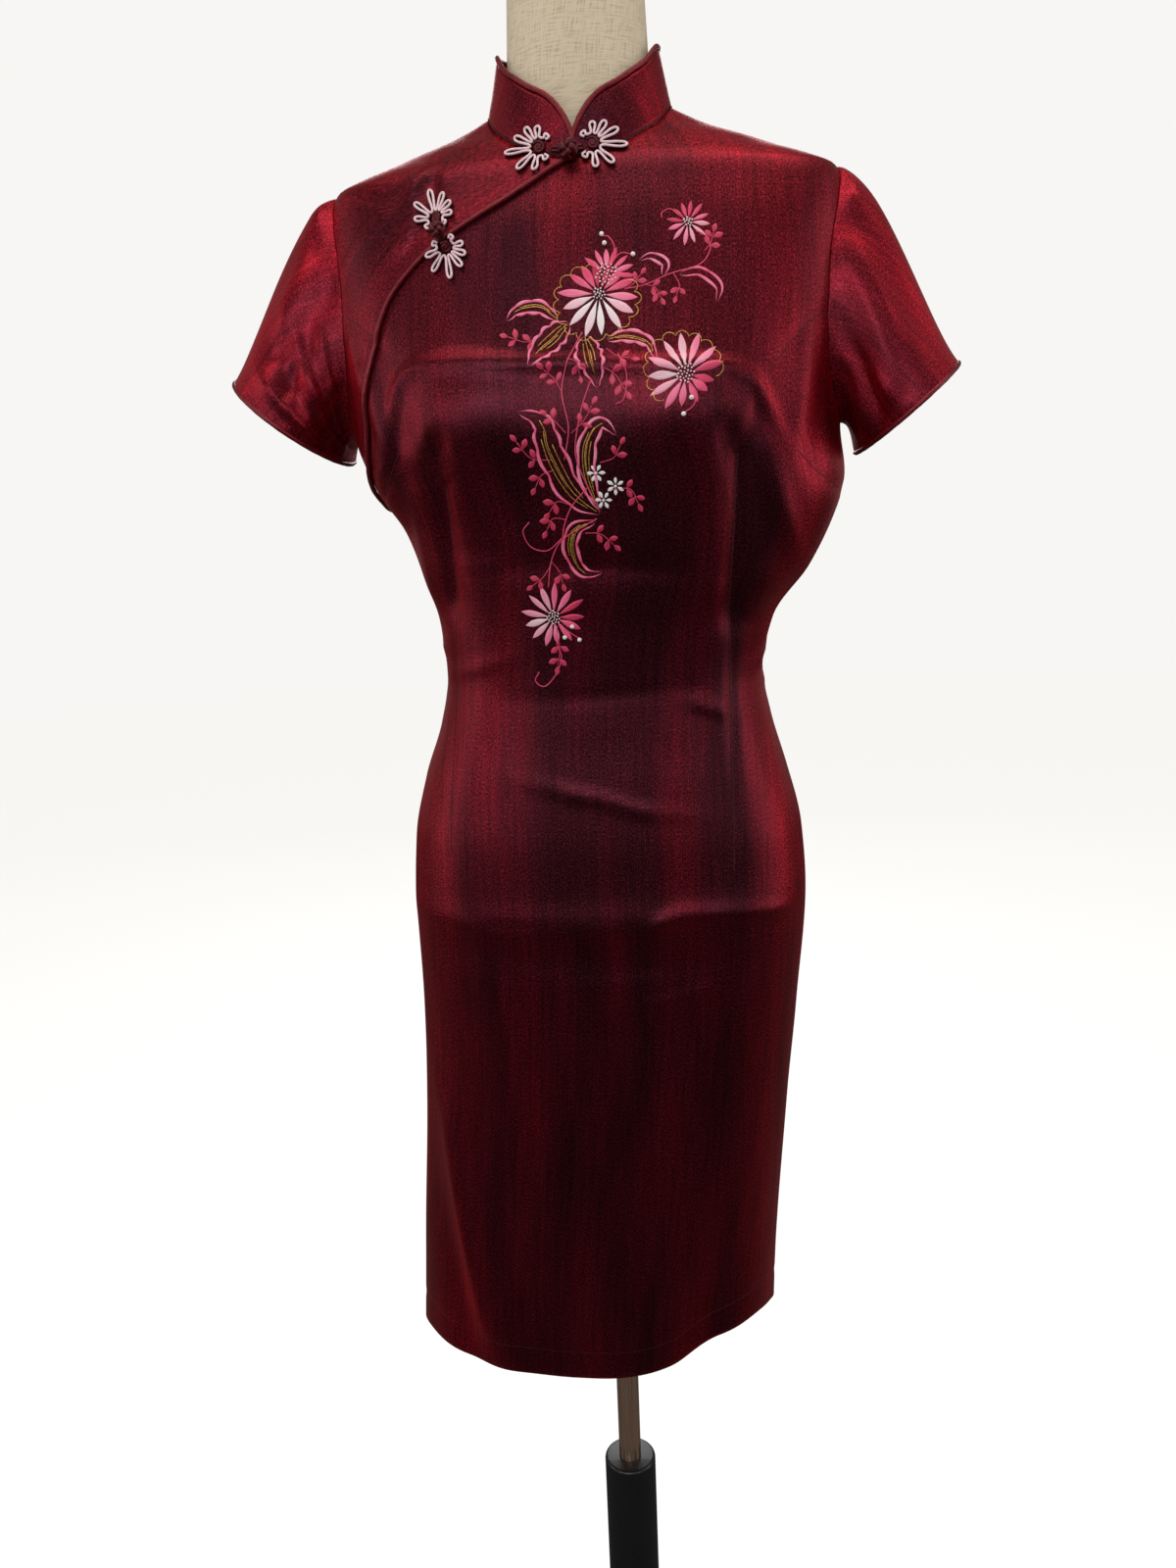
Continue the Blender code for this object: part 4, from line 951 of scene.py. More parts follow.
def make_collar(material):
    """Stiffened band: a shallow step below its top edge marks the piping's stitch line."""
    share = collar_share(np.arange(COLLAR_COLUMNS + 1), COLLAR_COLUMNS)[None, :]
    level = (np.arange(COLLAR_ROWS + 1) / COLLAR_ROWS)[:, None]
    share, level = np.broadcast_arrays(share, level)
    rise = collar_rise(share) * level
    wave = np.sin(COLLAR_WAVES * share * math.pi + COLLAR_WAVE_START)
    soft = COLLAR_WAVE_RISE * wave * np.sin(math.pi * level)
    outward = -COLLAR_EDGE_STEP * smooth_step(level, 1.0 - COLLAR_EDGE_BAND, 1.0) + soft
    points = collar_point(share, rise, outward)
    facing = level_direction(collar_angle(share))
    piece = sheet_mesh("collar_cloth", points, arc_lengths(points, 1), rise, facing)
    thicken(piece)
    join_body(piece, material, "satin", "stand_collar")
    declare_cloth(points)


# Piping, cords and threads


def path_frames(path, up, closed=False):
    """Unit directions along a path, aside from it and away from the cloth."""
    if closed:
        along = np.roll(path, -1, axis=0) - np.roll(path, 1, axis=0)
    else:
        along = np.gradient(path, axis=0)
    along = unit(along)
    aside = unit(np.cross(along, up))
    return aside, unit(np.cross(aside, along))


def tube(work, path, up, wide, tall, sides, closed=False, tone=0.0):
    """A cord of oval section along a path, its ends closed; wide and tall are half sizes."""
    wide = np.broadcast_to(wide, (len(path),))
    tall = np.broadcast_to(tall, (len(path),))
    if closed:
        wide, tall = np.append(wide, wide[0]), np.append(tall, tall[0])
        path, up = np.vstack((path, path[:1])), np.vstack((up, up[:1]))
        aside, above = path_frames(path[:-1], up[:-1], True)
        aside, above = np.vstack((aside, aside[:1])), np.vstack((above, above[:1]))
    else:
        aside, above = path_frames(path, up)
    wide, tall = wide[:, None, None], tall[:, None, None]
    turn = -2.0 * math.pi * np.arange(sides + 1) / sides
    cos, sin = np.cos(turn)[None, :, None], np.sin(turn)[None, :, None]
    points = path[:, None] + aside[:, None] * wide * cos + above[:, None] * tall * sin
    points[:, -1] = points[:, 0]
    if closed:
        points[-1] = points[0]
    along = np.broadcast_to(lengths_along(path)[:, None], points.shape[:2])
    across = np.broadcast_to((turn * wide.mean())[None, :], points.shape[:2])
    tones = np.full(points.shape[:2], tone)
    made = lay_grid(work, points, -across, along, tones, closed=True)
    if not closed:
        made = [vert for vert in made if vert.is_valid]
        rims = {edge for vert in made for edge in vert.link_edges if edge.is_boundary}
        bmesh.ops.holes_fill(work, edges=list(rims), sides=0)


def finish_cord(name, work, material, slot, *nodes):
    bmesh.ops.recalc_face_normals(work, faces=work.faces)
    bmesh.ops.translate(work, verts=work.verts, vec=(0.0, 0.0, RAISE))
    join_body(to_object(name, work), material, slot, *nodes)


def one_cord(name, path, up, wide, tall, sides, material, slot, *nodes, closed=False):
    work = bmesh.new()
    tube(work, path, up, wide, tall, sides, closed)
    finish_cord(name, work, material, slot, *nodes)


PIPING_STEPS = 260
PIPING_SIDES = 14
PIPING_FREE_END = 0.012
COLLAR_PIPE_TUCK = 0.5 * MM
PIPING_TWIST = 0.05
PIPING_TWIST_DRIFT = 0.37
COLLAR_PIPE_WAVE = 0.9
PLACKET_PIPE_WAVE = 0.8
PLACKET_PIPE_LIFT = 0.1 * MM
CUFF_PIPE_WAVE = 6.0 * math.pi / PIPING_STEPS * 8.0
CUFF_PIPE_INSET = 0.3 * CLOTH
CUFF_OVERLAP = 1.5 * MM


def rolled(count, wave):
    """Slightly uneven radii, as bias cloth rolled and sewn by hand has."""
    k = np.arange(count)
    drift = np.sin(PIPING_TWIST_DRIFT * wave * k + 1.0)
    return PIPE_RADIUS * (1.0 + PIPING_TWIST * np.sin(wave * k) * drift)


def make_collar_piping(material):
    share = collar_share(np.arange(PIPING_STEPS + 1), PIPING_STEPS)
    edge = collar_point(share, collar_rise(share), -0.5 * CLOTH)
    radial = level_direction(collar_angle(share))
    above = unit(np.cross(radial, np.gradient(edge, axis=0)))
    path = edge + above * (PIPE_RADIUS - COLLAR_PIPE_TUCK)
    radius = rolled(len(path), COLLAR_PIPE_WAVE)
    one_cord(
        "collar_roll", path, radial, radius, radius, PIPING_SIDES,
        material, "bias_piping", "collar_piping",
    )


def make_placket_piping(material):
    turn, height = placket_edge(PIPING_STEPS)
    inside = slice(0, int(PIPING_STEPS * (1.0 - PIPING_FREE_END)))
    share = np.arange(UNDERARM_ROWS * 2) / (UNDERARM_ROWS * 2)
    turn = np.concatenate((-math.pi + (turn[0] + math.pi) * share, turn[inside]))
    height = np.concatenate((SIDE_CORNER + (height[0] - SIDE_CORNER) * share, height[inside]))
    path = garment(turn, height, PIPE_RADIUS + PLACKET_PIPE_LIFT)
    radius = rolled(len(path), PLACKET_PIPE_WAVE)
    one_cord(
        "placket_roll", path, surface_normal(turn, height), radius, radius, PIPING_SIDES,
        material, "bias_piping", "placket_piping",
    )


def make_cuff_piping(name, side, material):
    turn = 2.0 * math.pi * np.arange(PIPING_STEPS) / PIPING_STEPS
    path = cuff_point(side, turn, -CUFF_PIPE_INSET, PIPE_RADIUS - CUFF_OVERLAP)
    up = unit(path - path.mean(axis=0))
    radius = rolled(len(path), CUFF_PIPE_WAVE)
    one_cord(
        name.replace("piping", "roll"), path, up, radius, radius, PIPING_SIDES,
        material, "bias_piping", name, closed=True,
    )


# Flower frogs and ball knots

PETAL_WAIST = 0.9 * MM
PETAL_BELLY = 1.9 * MM
PETAL_MIDDLE = 0.62
PETAL_SHOULDER = 0.90
PETAL_SHOULDER_WIDTH = 0.8
FROG_WIDEST = 0.95
FROG_STEEPEST = 0.5
FROG_LIFT = 0.3 * MM
PIPING_NEAR = 0.004
PIPING_FAR = 0.008
BIAS_HALF_WIDTH = 1.05 * MM
BIAS_HALF_HEIGHT = 1.35 * MM
SILK_RADIUS = 0.9 * MM
SILK_SEAT = 0.3 * SILK_RADIUS
FROG_STEPS = 5
FROG_SETTLING = 2
CORD_SIDES = 10
COIL_RADIUS = 1.25 * MM
COIL_INNER = 0.5 * COIL_RADIUS
COIL_TURNS = 2.4
COIL_STEPS = 90
COIL_DOME = 1.2 * MM
COIL_SETTLING = 8
PLACKET_STEPS = 120


def placket_line():
    turn, height = placket_edge(PLACKET_STEPS)
    keep = int(PLACKET_STEPS * (1.0 - PIPING_FREE_END))
    return garment(turn, height)[:keep][:, (0, 2)]


PLACKET_LINE = placket_line()


def over_piping(x, height):
    """How far a frog rises to pass over the piping of the front's edge."""
    aside, above = x[:, None] - PLACKET_LINE[:, 0], height[:, None] - PLACKET_LINE[:, 1]
    gap = np.hypot(aside, above).min(axis=1)
    return 2.0 * PIPE_RADIUS * (1.0 - smooth_step(gap, PIPING_NEAR, PIPING_FAR))


def frog_place(x, height, lift):
    """Points over the front of the collar or of the bodice, raised straight forward by lift."""
    x, height = np.atleast_1d(np.asarray(x, float)), np.atleast_1d(np.asarray(height, float))
    aside = x - NECK_CENTRE_X
    across = np.minimum(np.abs(aside) / NECK_HALF_WIDTH, FROG_WIDEST)
    angle = -np.arccos(np.copysign(across, aside))
    collar_foot = neck_turn(angle)[1]
    steep = np.maximum(np.sqrt(1.0 - across * across), FROG_STEEPEST)
    collar_y = NECK_FRONT * np.sin(angle) + COLLAR_LEAN * (height - collar_foot) / COLLAR_HEIGHT
    on_collar = np.stack([x, collar_y - lift / steep, height], axis=-1)
    turn = turn_on_front(x, height)
    facing = np.maximum(np.abs(surface_normal(turn, height)[:, 1]), FROG_STEEPEST)
    on_bodice = garment(turn, height)
    on_bodice[:, 1] -= (lift + over_piping(x, height)) / facing
    upper = (across < FROG_WIDEST) & (height >= collar_foot)
    return np.where(upper[:, None], on_collar, on_bodice)


def settle(values, rounds):
    """Evens out steps along a path, so a cord bends softly over them."""
    for _ in range(rounds):
        values = np.concatenate(
            (values[:1], 0.25 * values[:-2] + 0.5 * values[1:-1] + 0.25 * values[2:], values[-1:])
        )
    return values


def frog_outline(size, mirrored):
    """The one cord that draws every petal, as flat points round the coil."""
    points = []
    for angle, reach in PETALS:
        tip, root = reach * size, PETAL_ROOT * size
        middle = root + PETAL_MIDDLE * (tip - root)
        shoulder = root + PETAL_SHOULDER * (tip - root)
        belly = PETAL_BELLY * size
        rounded = PETAL_SHOULDER_WIDTH * belly
        lean = math.radians(angle)
        for out, aside in (
            (root, -PETAL_WAIST),
            (middle, -belly),
            (shoulder, -rounded),
            (tip, 0.0),
            (shoulder, rounded),
            (middle, belly),
            (root, PETAL_WAIST),
        ):
            along = out * math.cos(lean) - aside * math.sin(lean)
            across = out * math.sin(lean) + aside * math.cos(lean)
            points.append((along, -across if mirrored else across))
    return points


def frog_up(x, height):
    """Unit directions away from the cloth, at places on a frog."""
    return unit(frog_place(x, height, FROG_LIFT + COIL_RADIUS) - frog_place(x, height, FROG_LIFT))


def make_frog(row, bias, silk):
    """A bias cord on edge with a silk cord along its top, round a coil of bias."""
    name, x, height, far_direction, size, mirrored = row
    turn = math.radians(far_direction)
    flat = through(frog_outline(size, mirrored), FROG_STEPS)
    px = x + flat[:, 0] * math.cos(turn) - flat[:, 1] * math.sin(turn)
    pz = height + flat[:, 0] * math.sin(turn) + flat[:, 1] * math.cos(turn)
    foot = settle(frog_place(px, pz, FROG_LIFT), FROG_SETTLING)
    up = frog_up(px, pz)
    middle = foot + up * BIAS_HALF_HEIGHT
    one_cord(
        name + "_bias", middle, up, BIAS_HALF_WIDTH, BIAS_HALF_HEIGHT, CORD_SIDES,
        bias, "bias_piping",
    )
    top = foot + up * (2.0 * BIAS_HALF_HEIGHT + SILK_SEAT)
    one_cord(
        name + "_silk", top, up, SILK_RADIUS, SILK_RADIUS, CORD_SIDES,
        silk, "frog_cord", name + "_cord",
    )

    steps = np.arange(COIL_STEPS + 1) / COIL_STEPS
    widest = PETAL_ROOT * size - BIAS_HALF_WIDTH - COIL_RADIUS
    radius = COIL_INNER + (widest - COIL_INNER) * steps
    winding = 2.0 * math.pi * COIL_TURNS * np.sqrt(steps)
    px, pz = x + radius * np.cos(winding), height + radius * np.sin(winding)
    foot = settle(frog_place(px, pz, FROG_LIFT + COIL_RADIUS), COIL_SETTLING)
    up = frog_up(px, pz)
    dome = (COIL_DOME * (1.0 - steps ** 2))[:, None]
    one_cord(
        name + "_coil", foot + up * dome, up, COIL_RADIUS, COIL_RADIUS, CORD_SIDES,
        bias, "bias_piping", name + "_disc",
    )


KNOT_LEADS = 3
KNOT_BIGHTS = 4
KNOT_STEPS = 280
KNOT_CORD = 0.31
KNOT_TILT = 62.0
KNOT_WEAVE = 0.35
KNOT_WEAVE_START = 0.5
KNOT_CORD_FLAT = 0.85
KNOT_CORE = 0.62


def make_knot(row, bias):
    """A ball knot: one bias cord woven round a sphere, its strands passing over and under."""
    name, x, height, radius, lift = row
    centre = frog_place(x, height, lift)[0]
    t = 2.0 * math.pi * np.arange(KNOT_STEPS) / KNOT_STEPS
    cord = radius * KNOT_CORD
    longitude = KNOT_LEADS * t
    latitude = math.radians(KNOT_TILT) * np.sin(KNOT_BIGHTS * t)
    weave = KNOT_WEAVE * cord * np.sin(2.0 * KNOT_BIGHTS * t + KNOT_WEAVE_START)
    reach = (radius - cord + weave)[:, None]
    out = np.stack(
        [
            np.cos(latitude) * np.cos(longitude),
            np.sin(latitude),
            np.cos(latitude) * np.sin(longitude),
        ],
        axis=-1,
    )
    work = bmesh.new()
    tube(work, centre + out * reach, out, cord, cord * KNOT_CORD_FLAT, CORD_SIDES, closed=True)
    core = bmesh.ops.create_icosphere(work, subdivisions=2, radius=radius * KNOT_CORE)["verts"]
    bmesh.ops.translate(work, verts=core, vec=Vector(centre))
    finish_cord(name + "_ball", work, bias, "bias_piping", name)


# Button loops run from the coils of a knot's two frogs to the knot: name, knot, frogs
BUTTON_LOOPS = (
    ("collar_loop", "collar_knot", ("collar_frog_left", "collar_frog_right")),
    ("chest_loop", "chest_knot", ("chest_frog_upper", "chest_frog_lower")),
)
LOOP_RADIUS = 1.15 * MM
LOOP_APART = 1.05
LOOP_FROM = 0.42
LOOP_TO = 0.86
LOOP_UP_BY = 0.80
LOOP_RISE = 2.2 * MM
LOOP_STEPS = 9
LOOP_SIDES = 8


def make_button_loops(name, knot_name, frog_names, bias):
    knot_place = np.array(row_for(KNOTS, knot_name)[1:3])
    shares = np.linspace(LOOP_FROM, LOOP_TO, LOOP_STEPS)
    lift = FROG_LIFT + LOOP_RADIUS + LOOP_RISE * smooth_step(shares, LOOP_FROM, LOOP_UP_BY)
    work = bmesh.new()
    for frog_name in frog_names:
        frog_middle = np.array(row_for(FROGS, frog_name)[1:3])
        along = knot_place - frog_middle
        aside = np.array((-along[1], along[0])) / np.linalg.norm(along)
        for way in (-1.0, 1.0):
            flat = frog_middle + shares[:, None] * along
            flat = flat + aside * way * LOOP_RADIUS * LOOP_APART
            path = frog_place(flat[:, 0], flat[:, 1], lift)
            up = np.tile((0.0, -1.0, 0.0), (len(path), 1))
            tube(work, path, up, LOOP_RADIUS, LOOP_RADIUS, LOOP_SIDES)
    finish_cord(name, work, bias, "bias_piping")


# Embroidery: long satin stitches of rayon thread, gold couching and seed beads.  Places are
# millimetres across and up the front, on this spray's own layout.

STITCH_SINK = 0.25 * MM
STITCH_CROWN = 0.75 * MM
STITCH_ENDS = (0.02, 0.98)
STITCH_FULL = 0.35
PETAL_ROWS = 12
PETAL_ACROSS = 7
LEAF_ROWS = 34
BAND_ACROSS = 5
THREAD_SEAT = 0.4
THREAD_FLAT = 0.85
THREAD_SIDES = 6
STEM_RADIUS = 0.45 * MM
GOLD_RADIUS = 0.32 * MM
SEED_RADIUS = 0.72 * MM
BUD_RADIUS = 1.7 * MM

# Flowers: name, x, height, radius, petals, start, sweep, tone, paler toward, how much paler,
# shorter toward, how much shorter.  Tone runs from 0 deep rose to 1 nearly white.
FLOWERS = (
    ("top_daisy", 80.5, 1394.4, 16.0, 12, 80.0, 360.0, 0.50, -60.0, 0.20, 110.0, 0.16),
    ("half_daisy", 23.8, 1361.0, 19.0, 7, -8.0, 150.0, 0.42, 90.0, 0.06, 100.0, 0.0),
    ("large_daisy", 18.0, 1347.5, 29.0, 14, 96.0, 360.0, 0.60, -96.0, 0.34, 80.0, 0.30),
    ("side_daisy", 78.0, 1290.0, 28.0, 13, 70.0, 360.0, 0.58, 150.0, 0.20, -50.0, 0.34),
    ("low_daisy", -24.2, 1122.5, 25.0, 13, 84.0, 360.0, 0.56, 185.0, 0.20, -80.0, 0.18),
)
PETAL_INNER = 0.14
PETAL_WIDTH = 0.108
PETAL_UNEVEN = 0.09
PETAL_WIDTH_UNEVEN = 0.14
PETAL_TURN_UNEVEN = 3.0
PETAL_TONE_UNEVEN = 0.10
PETAL_ROOT_PALER = 0.08
PETAL_TIP_DEEPER = 0.06
PETAL_FULLEST = 1.35
PETAL_POINT = 0.85

# Scalloped outlines: x, height, half width, half height, lobes, start, sweep
SCALLOPS = (
    (15.8, 1342.2, 31.0, 26.5, 14, 84.0, 312.0),
    (75.5, 1293.5, 27.0, 26.5, 11, -14.0, 252.0),
)
SCALLOP_DEPTH = 0.13
SCALLOP_ROUND = 0.7
SCALLOP_STEPS = 10
SCALLOP_WOBBLE = 0.03

# Leaves: veined, half width, lobes, midline.  Veined ones hold gold veins inside their borders.
LEAVES = (
    (True, 6.0, 4, ((-11.0, 1331.0), (-24.0, 1340.5), (-39.0, 1339.5), (-48.0, 1332.0))),
    (True, 10.5, 5, ((-3.0, 1328.5), (-13.0, 1321.0), (-24.0, 1311.0), (-32.0, 1299.5))),
    (True, 11.0, 5, ((8.0, 1319.5), (10.0, 1308.0), (14.0, 1297.0), (16.5, 1283.5))),
    (True, 5.6, 4, ((23.0, 1316.0), (38.0, 1318.0), (52.0, 1313.0), (58.0, 1300.0))),
    (False, 4.4, 2, ((74.0, 1358.5), (89.0, 1359.5), (101.0, 1350.0), (100.0, 1338.0))),
    (False, 4.0, 2, ((63.0, 1357.5), (64.0, 1366.0), (55.0, 1371.5), (46.0, 1369.0))),
    (True, 11.5, 6, (
        (14.5, 1197.0), (-6.0, 1214.0), (-19.0, 1243.0), (-24.0, 1262.0), (-40.0, 1270.0),
    )),
    (True, 8.0, 5, ((15.0, 1199.0), (7.0, 1222.0), (8.0, 1246.0), (18.0, 1260.0), (29.0, 1251.0))),
    (True, 7.0, 4, ((11.0, 1192.5), (-5.0, 1186.0), (-8.5, 1170.0), (0.0, 1155.0), (14.0, 1154.5))),
)
LEAF_FULLEST = 0.8
LEAF_POINT = 0.75
LEAF_BAND = 2.3 * MM
LEAF_BAND_NARROW = 0.8
LEAF_BAND_SWELL = 0.5
LEAF_BAND_MOST = 0.62
LEAF_OPEN_LEAST = 0.2
LEAF_LOBE = 0.22
LEAF_TONE = 0.44
LEAF_LOBE_PALER = 0.14
LEAF_TONE_UNEVEN = 0.05
LEAF_STITCH_SLANT = 0.8
LEAF_STITCH_SPREAD = 1.5
WIDE_LEAF = 6.5
LEAF_VEINS = (
    (-0.40, 0.10, 0.62), (0.02, 0.05, 0.80), (0.40, 0.16, 0.66), (-0.12, 0.30, 0.72),
)
VEIN_EVERY = 4
VEIN_STEPS = 3
VEIN_SWAY = 0.07
VEIN_SWAY_WAVE = 9.0

STEMS = (
    (
        (86.0, 1388.0), (93.5, 1383.0), (95.5, 1374.0), (88.0, 1364.5), (68.5, 1359.0),
        (50.0, 1352.0), (36.0, 1350.0),
    ),
    ((74.0, 1399.0), (68.0, 1403.5), (62.5, 1401.0), (62.0, 1397.5)),
    ((24.0, 1366.0), (29.0, 1378.0), (25.0, 1386.5), (20.0, 1387.5)),
    ((26.0, 1367.0), (33.0, 1374.5), (41.0, 1373.5)),
    ((6.0, 1322.0), (-4.0, 1303.0), (-9.0, 1282.0), (-5.0, 1258.0), (-9.0, 1236.0)),
    ((12.0, 1290.0), (4.0, 1268.0), (-1.0, 1240.0), (6.0, 1218.0), (14.0, 1199.0)),
    ((12.0, 1194.0), (-2.0, 1187.0), (-16.0, 1178.0), (-24.0, 1163.0), (-27.0, 1145.0)),
    ((-14.0, 1181.0), (-26.0, 1172.0), (-38.0, 1175.0), (-43.0, 1186.0), (-38.0, 1193.0)),
    ((6.0, 1216.0), (-6.0, 1203.0), (-12.0, 1190.0), (-14.0, 1180.0)),
    ((80.0, 1284.0), (85.0, 1277.0), (83.0, 1269.0), (76.0, 1264.0)),
    (
        (-22.0, 1116.0), (-23.0, 1104.0), (-20.0, 1092.0), (-25.0, 1079.0), (-34.0, 1070.0),
        (-41.0, 1074.0), (-38.0, 1081.0),
    ),
    ((-19.0, 1117.0), (-14.0, 1112.0), (-6.0, 1106.5)),
    ((31.0, 1306.0), (37.0, 1293.0), (35.0, 1276.0), (29.0, 1272.0)),
)

# Sprigs of small paired leaflets: a line, the number of pairs, and the leaflet's length
SPRIGS = (
    (((-22.0, 1322.0), (-33.0, 1317.0), (-46.0, 1321.0)), 2, 6.6),
    (((92.0, 1374.0), (96.0, 1379.0), (98.0, 1386.0)), 2, 6.6),
    (((50.0, 1352.0), (57.0, 1350.0), (61.0, 1343.0)), 2, 6.0),
    (((38.0, 1350.5), (43.0, 1354.0), (47.0, 1359.0)), 1, 6.0),
    (((70.0, 1359.0), (74.0, 1351.0), (72.0, 1344.0)), 1, 5.6),
    (((20.0, 1297.0), (29.0, 1292.0), (36.0, 1281.0)), 2, 7.4),
    (((23.0, 1310.0), (31.0, 1304.0), (40.0, 1302.0)), 1, 6.6),
    (((-9.0, 1282.0), (-14.0, 1291.0), (-21.0, 1297.0)), 2, 6.6),
    (((-5.0, 1304.0), (2.0, 1301.0), (4.0, 1293.0)), 1, 6.0),
    (((-7.0, 1254.0), (-14.0, 1262.0), (-19.0, 1266.0)), 1, 6.8),
    (((-3.0, 1254.0), (6.0, 1262.0), (12.0, 1272.0)), 2, 7.0),
    (((-19.0, 1236.0), (-33.0, 1238.0), (-42.0, 1249.0)), 2, 6.8),
    (((-17.0, 1229.0), (-26.0, 1226.0), (-31.0, 1218.0)), 1, 6.6),
    (((16.0, 1233.0), (26.0, 1236.0), (31.0, 1244.0)), 1, 6.6),
    (((24.0, 1214.0), (37.0, 1214.0), (42.0, 1204.0)), 2, 6.6),
    (((-6.0, 1204.0), (-16.0, 1207.0), (-22.0, 1200.0)), 1, 7.2),
    (((-10.0, 1194.0), (-20.0, 1195.0), (-25.0, 1187.0)), 1, 6.8),
    (((3.0, 1184.0), (14.0, 1183.0), (23.0, 1175.0)), 2, 6.8),
    (((-25.0, 1160.0), (-31.0, 1152.0), (-38.0, 1147.0)), 1, 6.6),
    (((-24.0, 1164.0), (-18.0, 1156.0), (-16.0, 1148.0)), 1, 6.6),
    (((-22.0, 1108.0), (-21.0, 1098.0), (-23.0, 1086.0)), 2, 7.2),
)

STEM_TONE = 0.36
SPRIG_TONE = 0.30
SPRIG_RADIUS = 0.8 * STEM_RADIUS
SPRIG_STEPS = 12
LEAFLET_FULLEST = 1.25
LEAFLET_SIZE = 1.15
LEAFLET_SIZE_UNEVEN = 0.12
LEAFLET_END_SIZE = 1.05
LEAFLET_WIDTH = 0.30
LEAFLET_TURN = 52.0
LEAFLET_TURN_UNEVEN = 8.0
LEAFLET_TONES = (0.22, 0.34)
FIRST_PAIR = 0.9
PAST_LAST_PAIR = 0.4

BLOSSOMS = ((13.0, 1226.0), (26.5, 1216.5), (17.5, 1207.0))
BLOSSOM_RADIUS = 6.6
BLOSSOM_PETALS = 6
BLOSSOM_HEART = 1.2 * MM
BLOSSOM_PETAL_LENGTH = 0.82
BLOSSOM_PETAL_UNEVEN = 0.08
BLOSSOM_TURN = 0.5
BLOSSOM_PETAL_WIDTH = 0.27
BLOSSOM_TONES = (0.98, 1.05)
BLOSSOM_BEAD = 1.6 * SEED_RADIUS
BEAD_SEAT = 0.55
BEAD_LIFT = 0.3 * MM
BEAD_UNEVEN = 0.12
BUDS = (
    (20.0, 1388.5), (22.0, 1382.0), (42.0, 1373.0), (76.0, 1263.5), (81.5, 1274.0),
    (-10.5, 1115.5), (-16.5, 1107.5), (-5.5, 1105.5),
)
# Seed beads in the hearts: x, height, radius, count
SEED_CLUSTERS = (
    (80.5, 1394.4, 3.4, 11),
    (23.0, 1361.0, 8.0, 30),
    (18.0, 1347.5, 4.4, 15),
    (78.0, 1290.0, 6.2, 26),
    (-24.2, 1122.5, 5.2, 20),
)
GOLDEN_TURN = math.radians(137.5)


def stitch_patch(work, flat, lift, across, along, tone):
    """Stitches laid on the front: flat places in metres, their edges sunk into the cloth."""
    points = on_front(flat[..., 0], flat[..., 1], lift)
    shape = points.shape[:2]
    lay_grid(
        work, points, np.broadcast_to(across, shape), np.broadcast_to(along, shape),
        np.broadcast_to(tone, shape),
    )


def stitch_fullness(t):
    """How full stitches stand along a form: sunk at both ends."""
    return np.sin(math.pi * np.clip(t, *STITCH_ENDS)) ** STITCH_FULL


def add_petal(
    work, root, direction, length, half_width, inner_tone, outer_tone, fullest=PETAL_FULLEST
):
    """One pointed petal of long stitches, crowned, from its root outwards."""
    t = (np.arange(PETAL_ROWS + 1) / PETAL_ROWS)[:, None]
    s = np.linspace(-1.0, 1.0, PETAL_ACROSS)[None, :]
    wide = half_width * np.sin(math.pi * t ** fullest) ** PETAL_POINT
    out = np.array((math.cos(direction), math.sin(direction)))
    aside = np.array((out[1], -out[0]))
    flat = np.array(root) + out * (length * t)[..., None] + aside * (wide * s)[..., None]
    lift = STITCH_CROWN * (1.0 - s ** 4) * stitch_fullness(t) - STITCH_SINK
    tone = inner_tone + (outer_tone - inner_tone) * t + 0.0 * s
    stitch_patch(work, flat, lift, wide * s, length * t, tone)


def uneven(k):
    """A steady, hand-like unevenness, between -1 and 1."""
    return math.sin(2.3 * k + 0.7) * 0.6 + math.sin(5.1 * k) * 0.4


def make_flower(row, thread):
    name, x, height, radius, petals, start, sweep, tone = row[:8]
    pale_toward, pale, short_toward, short = row[8:]
    work = bmesh.new()
    step = sweep / petals if sweep == 360.0 else sweep / (petals - 1)
    for k in range(petals):
        direction = math.radians(start + step * k + PETAL_TURN_UNEVEN * uneven(k))
        shorter = 1.0 - short * max(0.0, math.cos(direction - math.radians(short_toward)))
        length = radius * (1.0 - PETAL_INNER) * (shorter + PETAL_UNEVEN * uneven(k + 3)) * MM
        root = (
            x * MM + radius * PETAL_INNER * MM * math.cos(direction),
            height * MM + radius * PETAL_INNER * MM * math.sin(direction),
        )
        shade = tone + pale * math.cos(direction - math.radians(pale_toward))
        shade += PETAL_TONE_UNEVEN * uneven(2 * k + 1)
        half_width = radius * PETAL_WIDTH * MM * (1.0 + PETAL_WIDTH_UNEVEN * uneven(k + 5))
        inner, outer = shade + PETAL_ROOT_PALER, shade - PETAL_TIP_DEEPER
        add_petal(work, root, direction, length, half_width, inner, outer)
    finish_stitches("stitched_" + name, work, thread)


def finish_stitches(name, work, thread):
    bmesh.ops.translate(work, verts=work.verts, vec=(0.0, 0.0, RAISE))
    join_body(to_object(name, work), thread, "frog_cord")


def thread_line(work, stops, radius, steps=8, tone=0.5):
    """A thread laid on the front through flat places in millimetres."""
    flat = through(stops, steps) * MM
    path = on_front(flat[:, 0], flat[:, 1], THREAD_SEAT * radius)
    up = unit(on_front(flat[:, 0], flat[:, 1], 2.0 * radius) - path)
    tube(work, path, up, radius, THREAD_FLAT * radius, THREAD_SIDES, tone=tone)


def leaf_frame(midline):
    """Middle line of a leaf in metres, with the unit direction to its right."""
    flat = through(midline, LEAF_ROWS // (len(midline) - 1)) * MM
    along = unit(np.gradient(flat, axis=0))
    aside = np.stack([along[:, 1], -along[:, 0]], axis=-1)
    t = np.arange(len(flat)) / (len(flat) - 1)
    return flat, aside, t


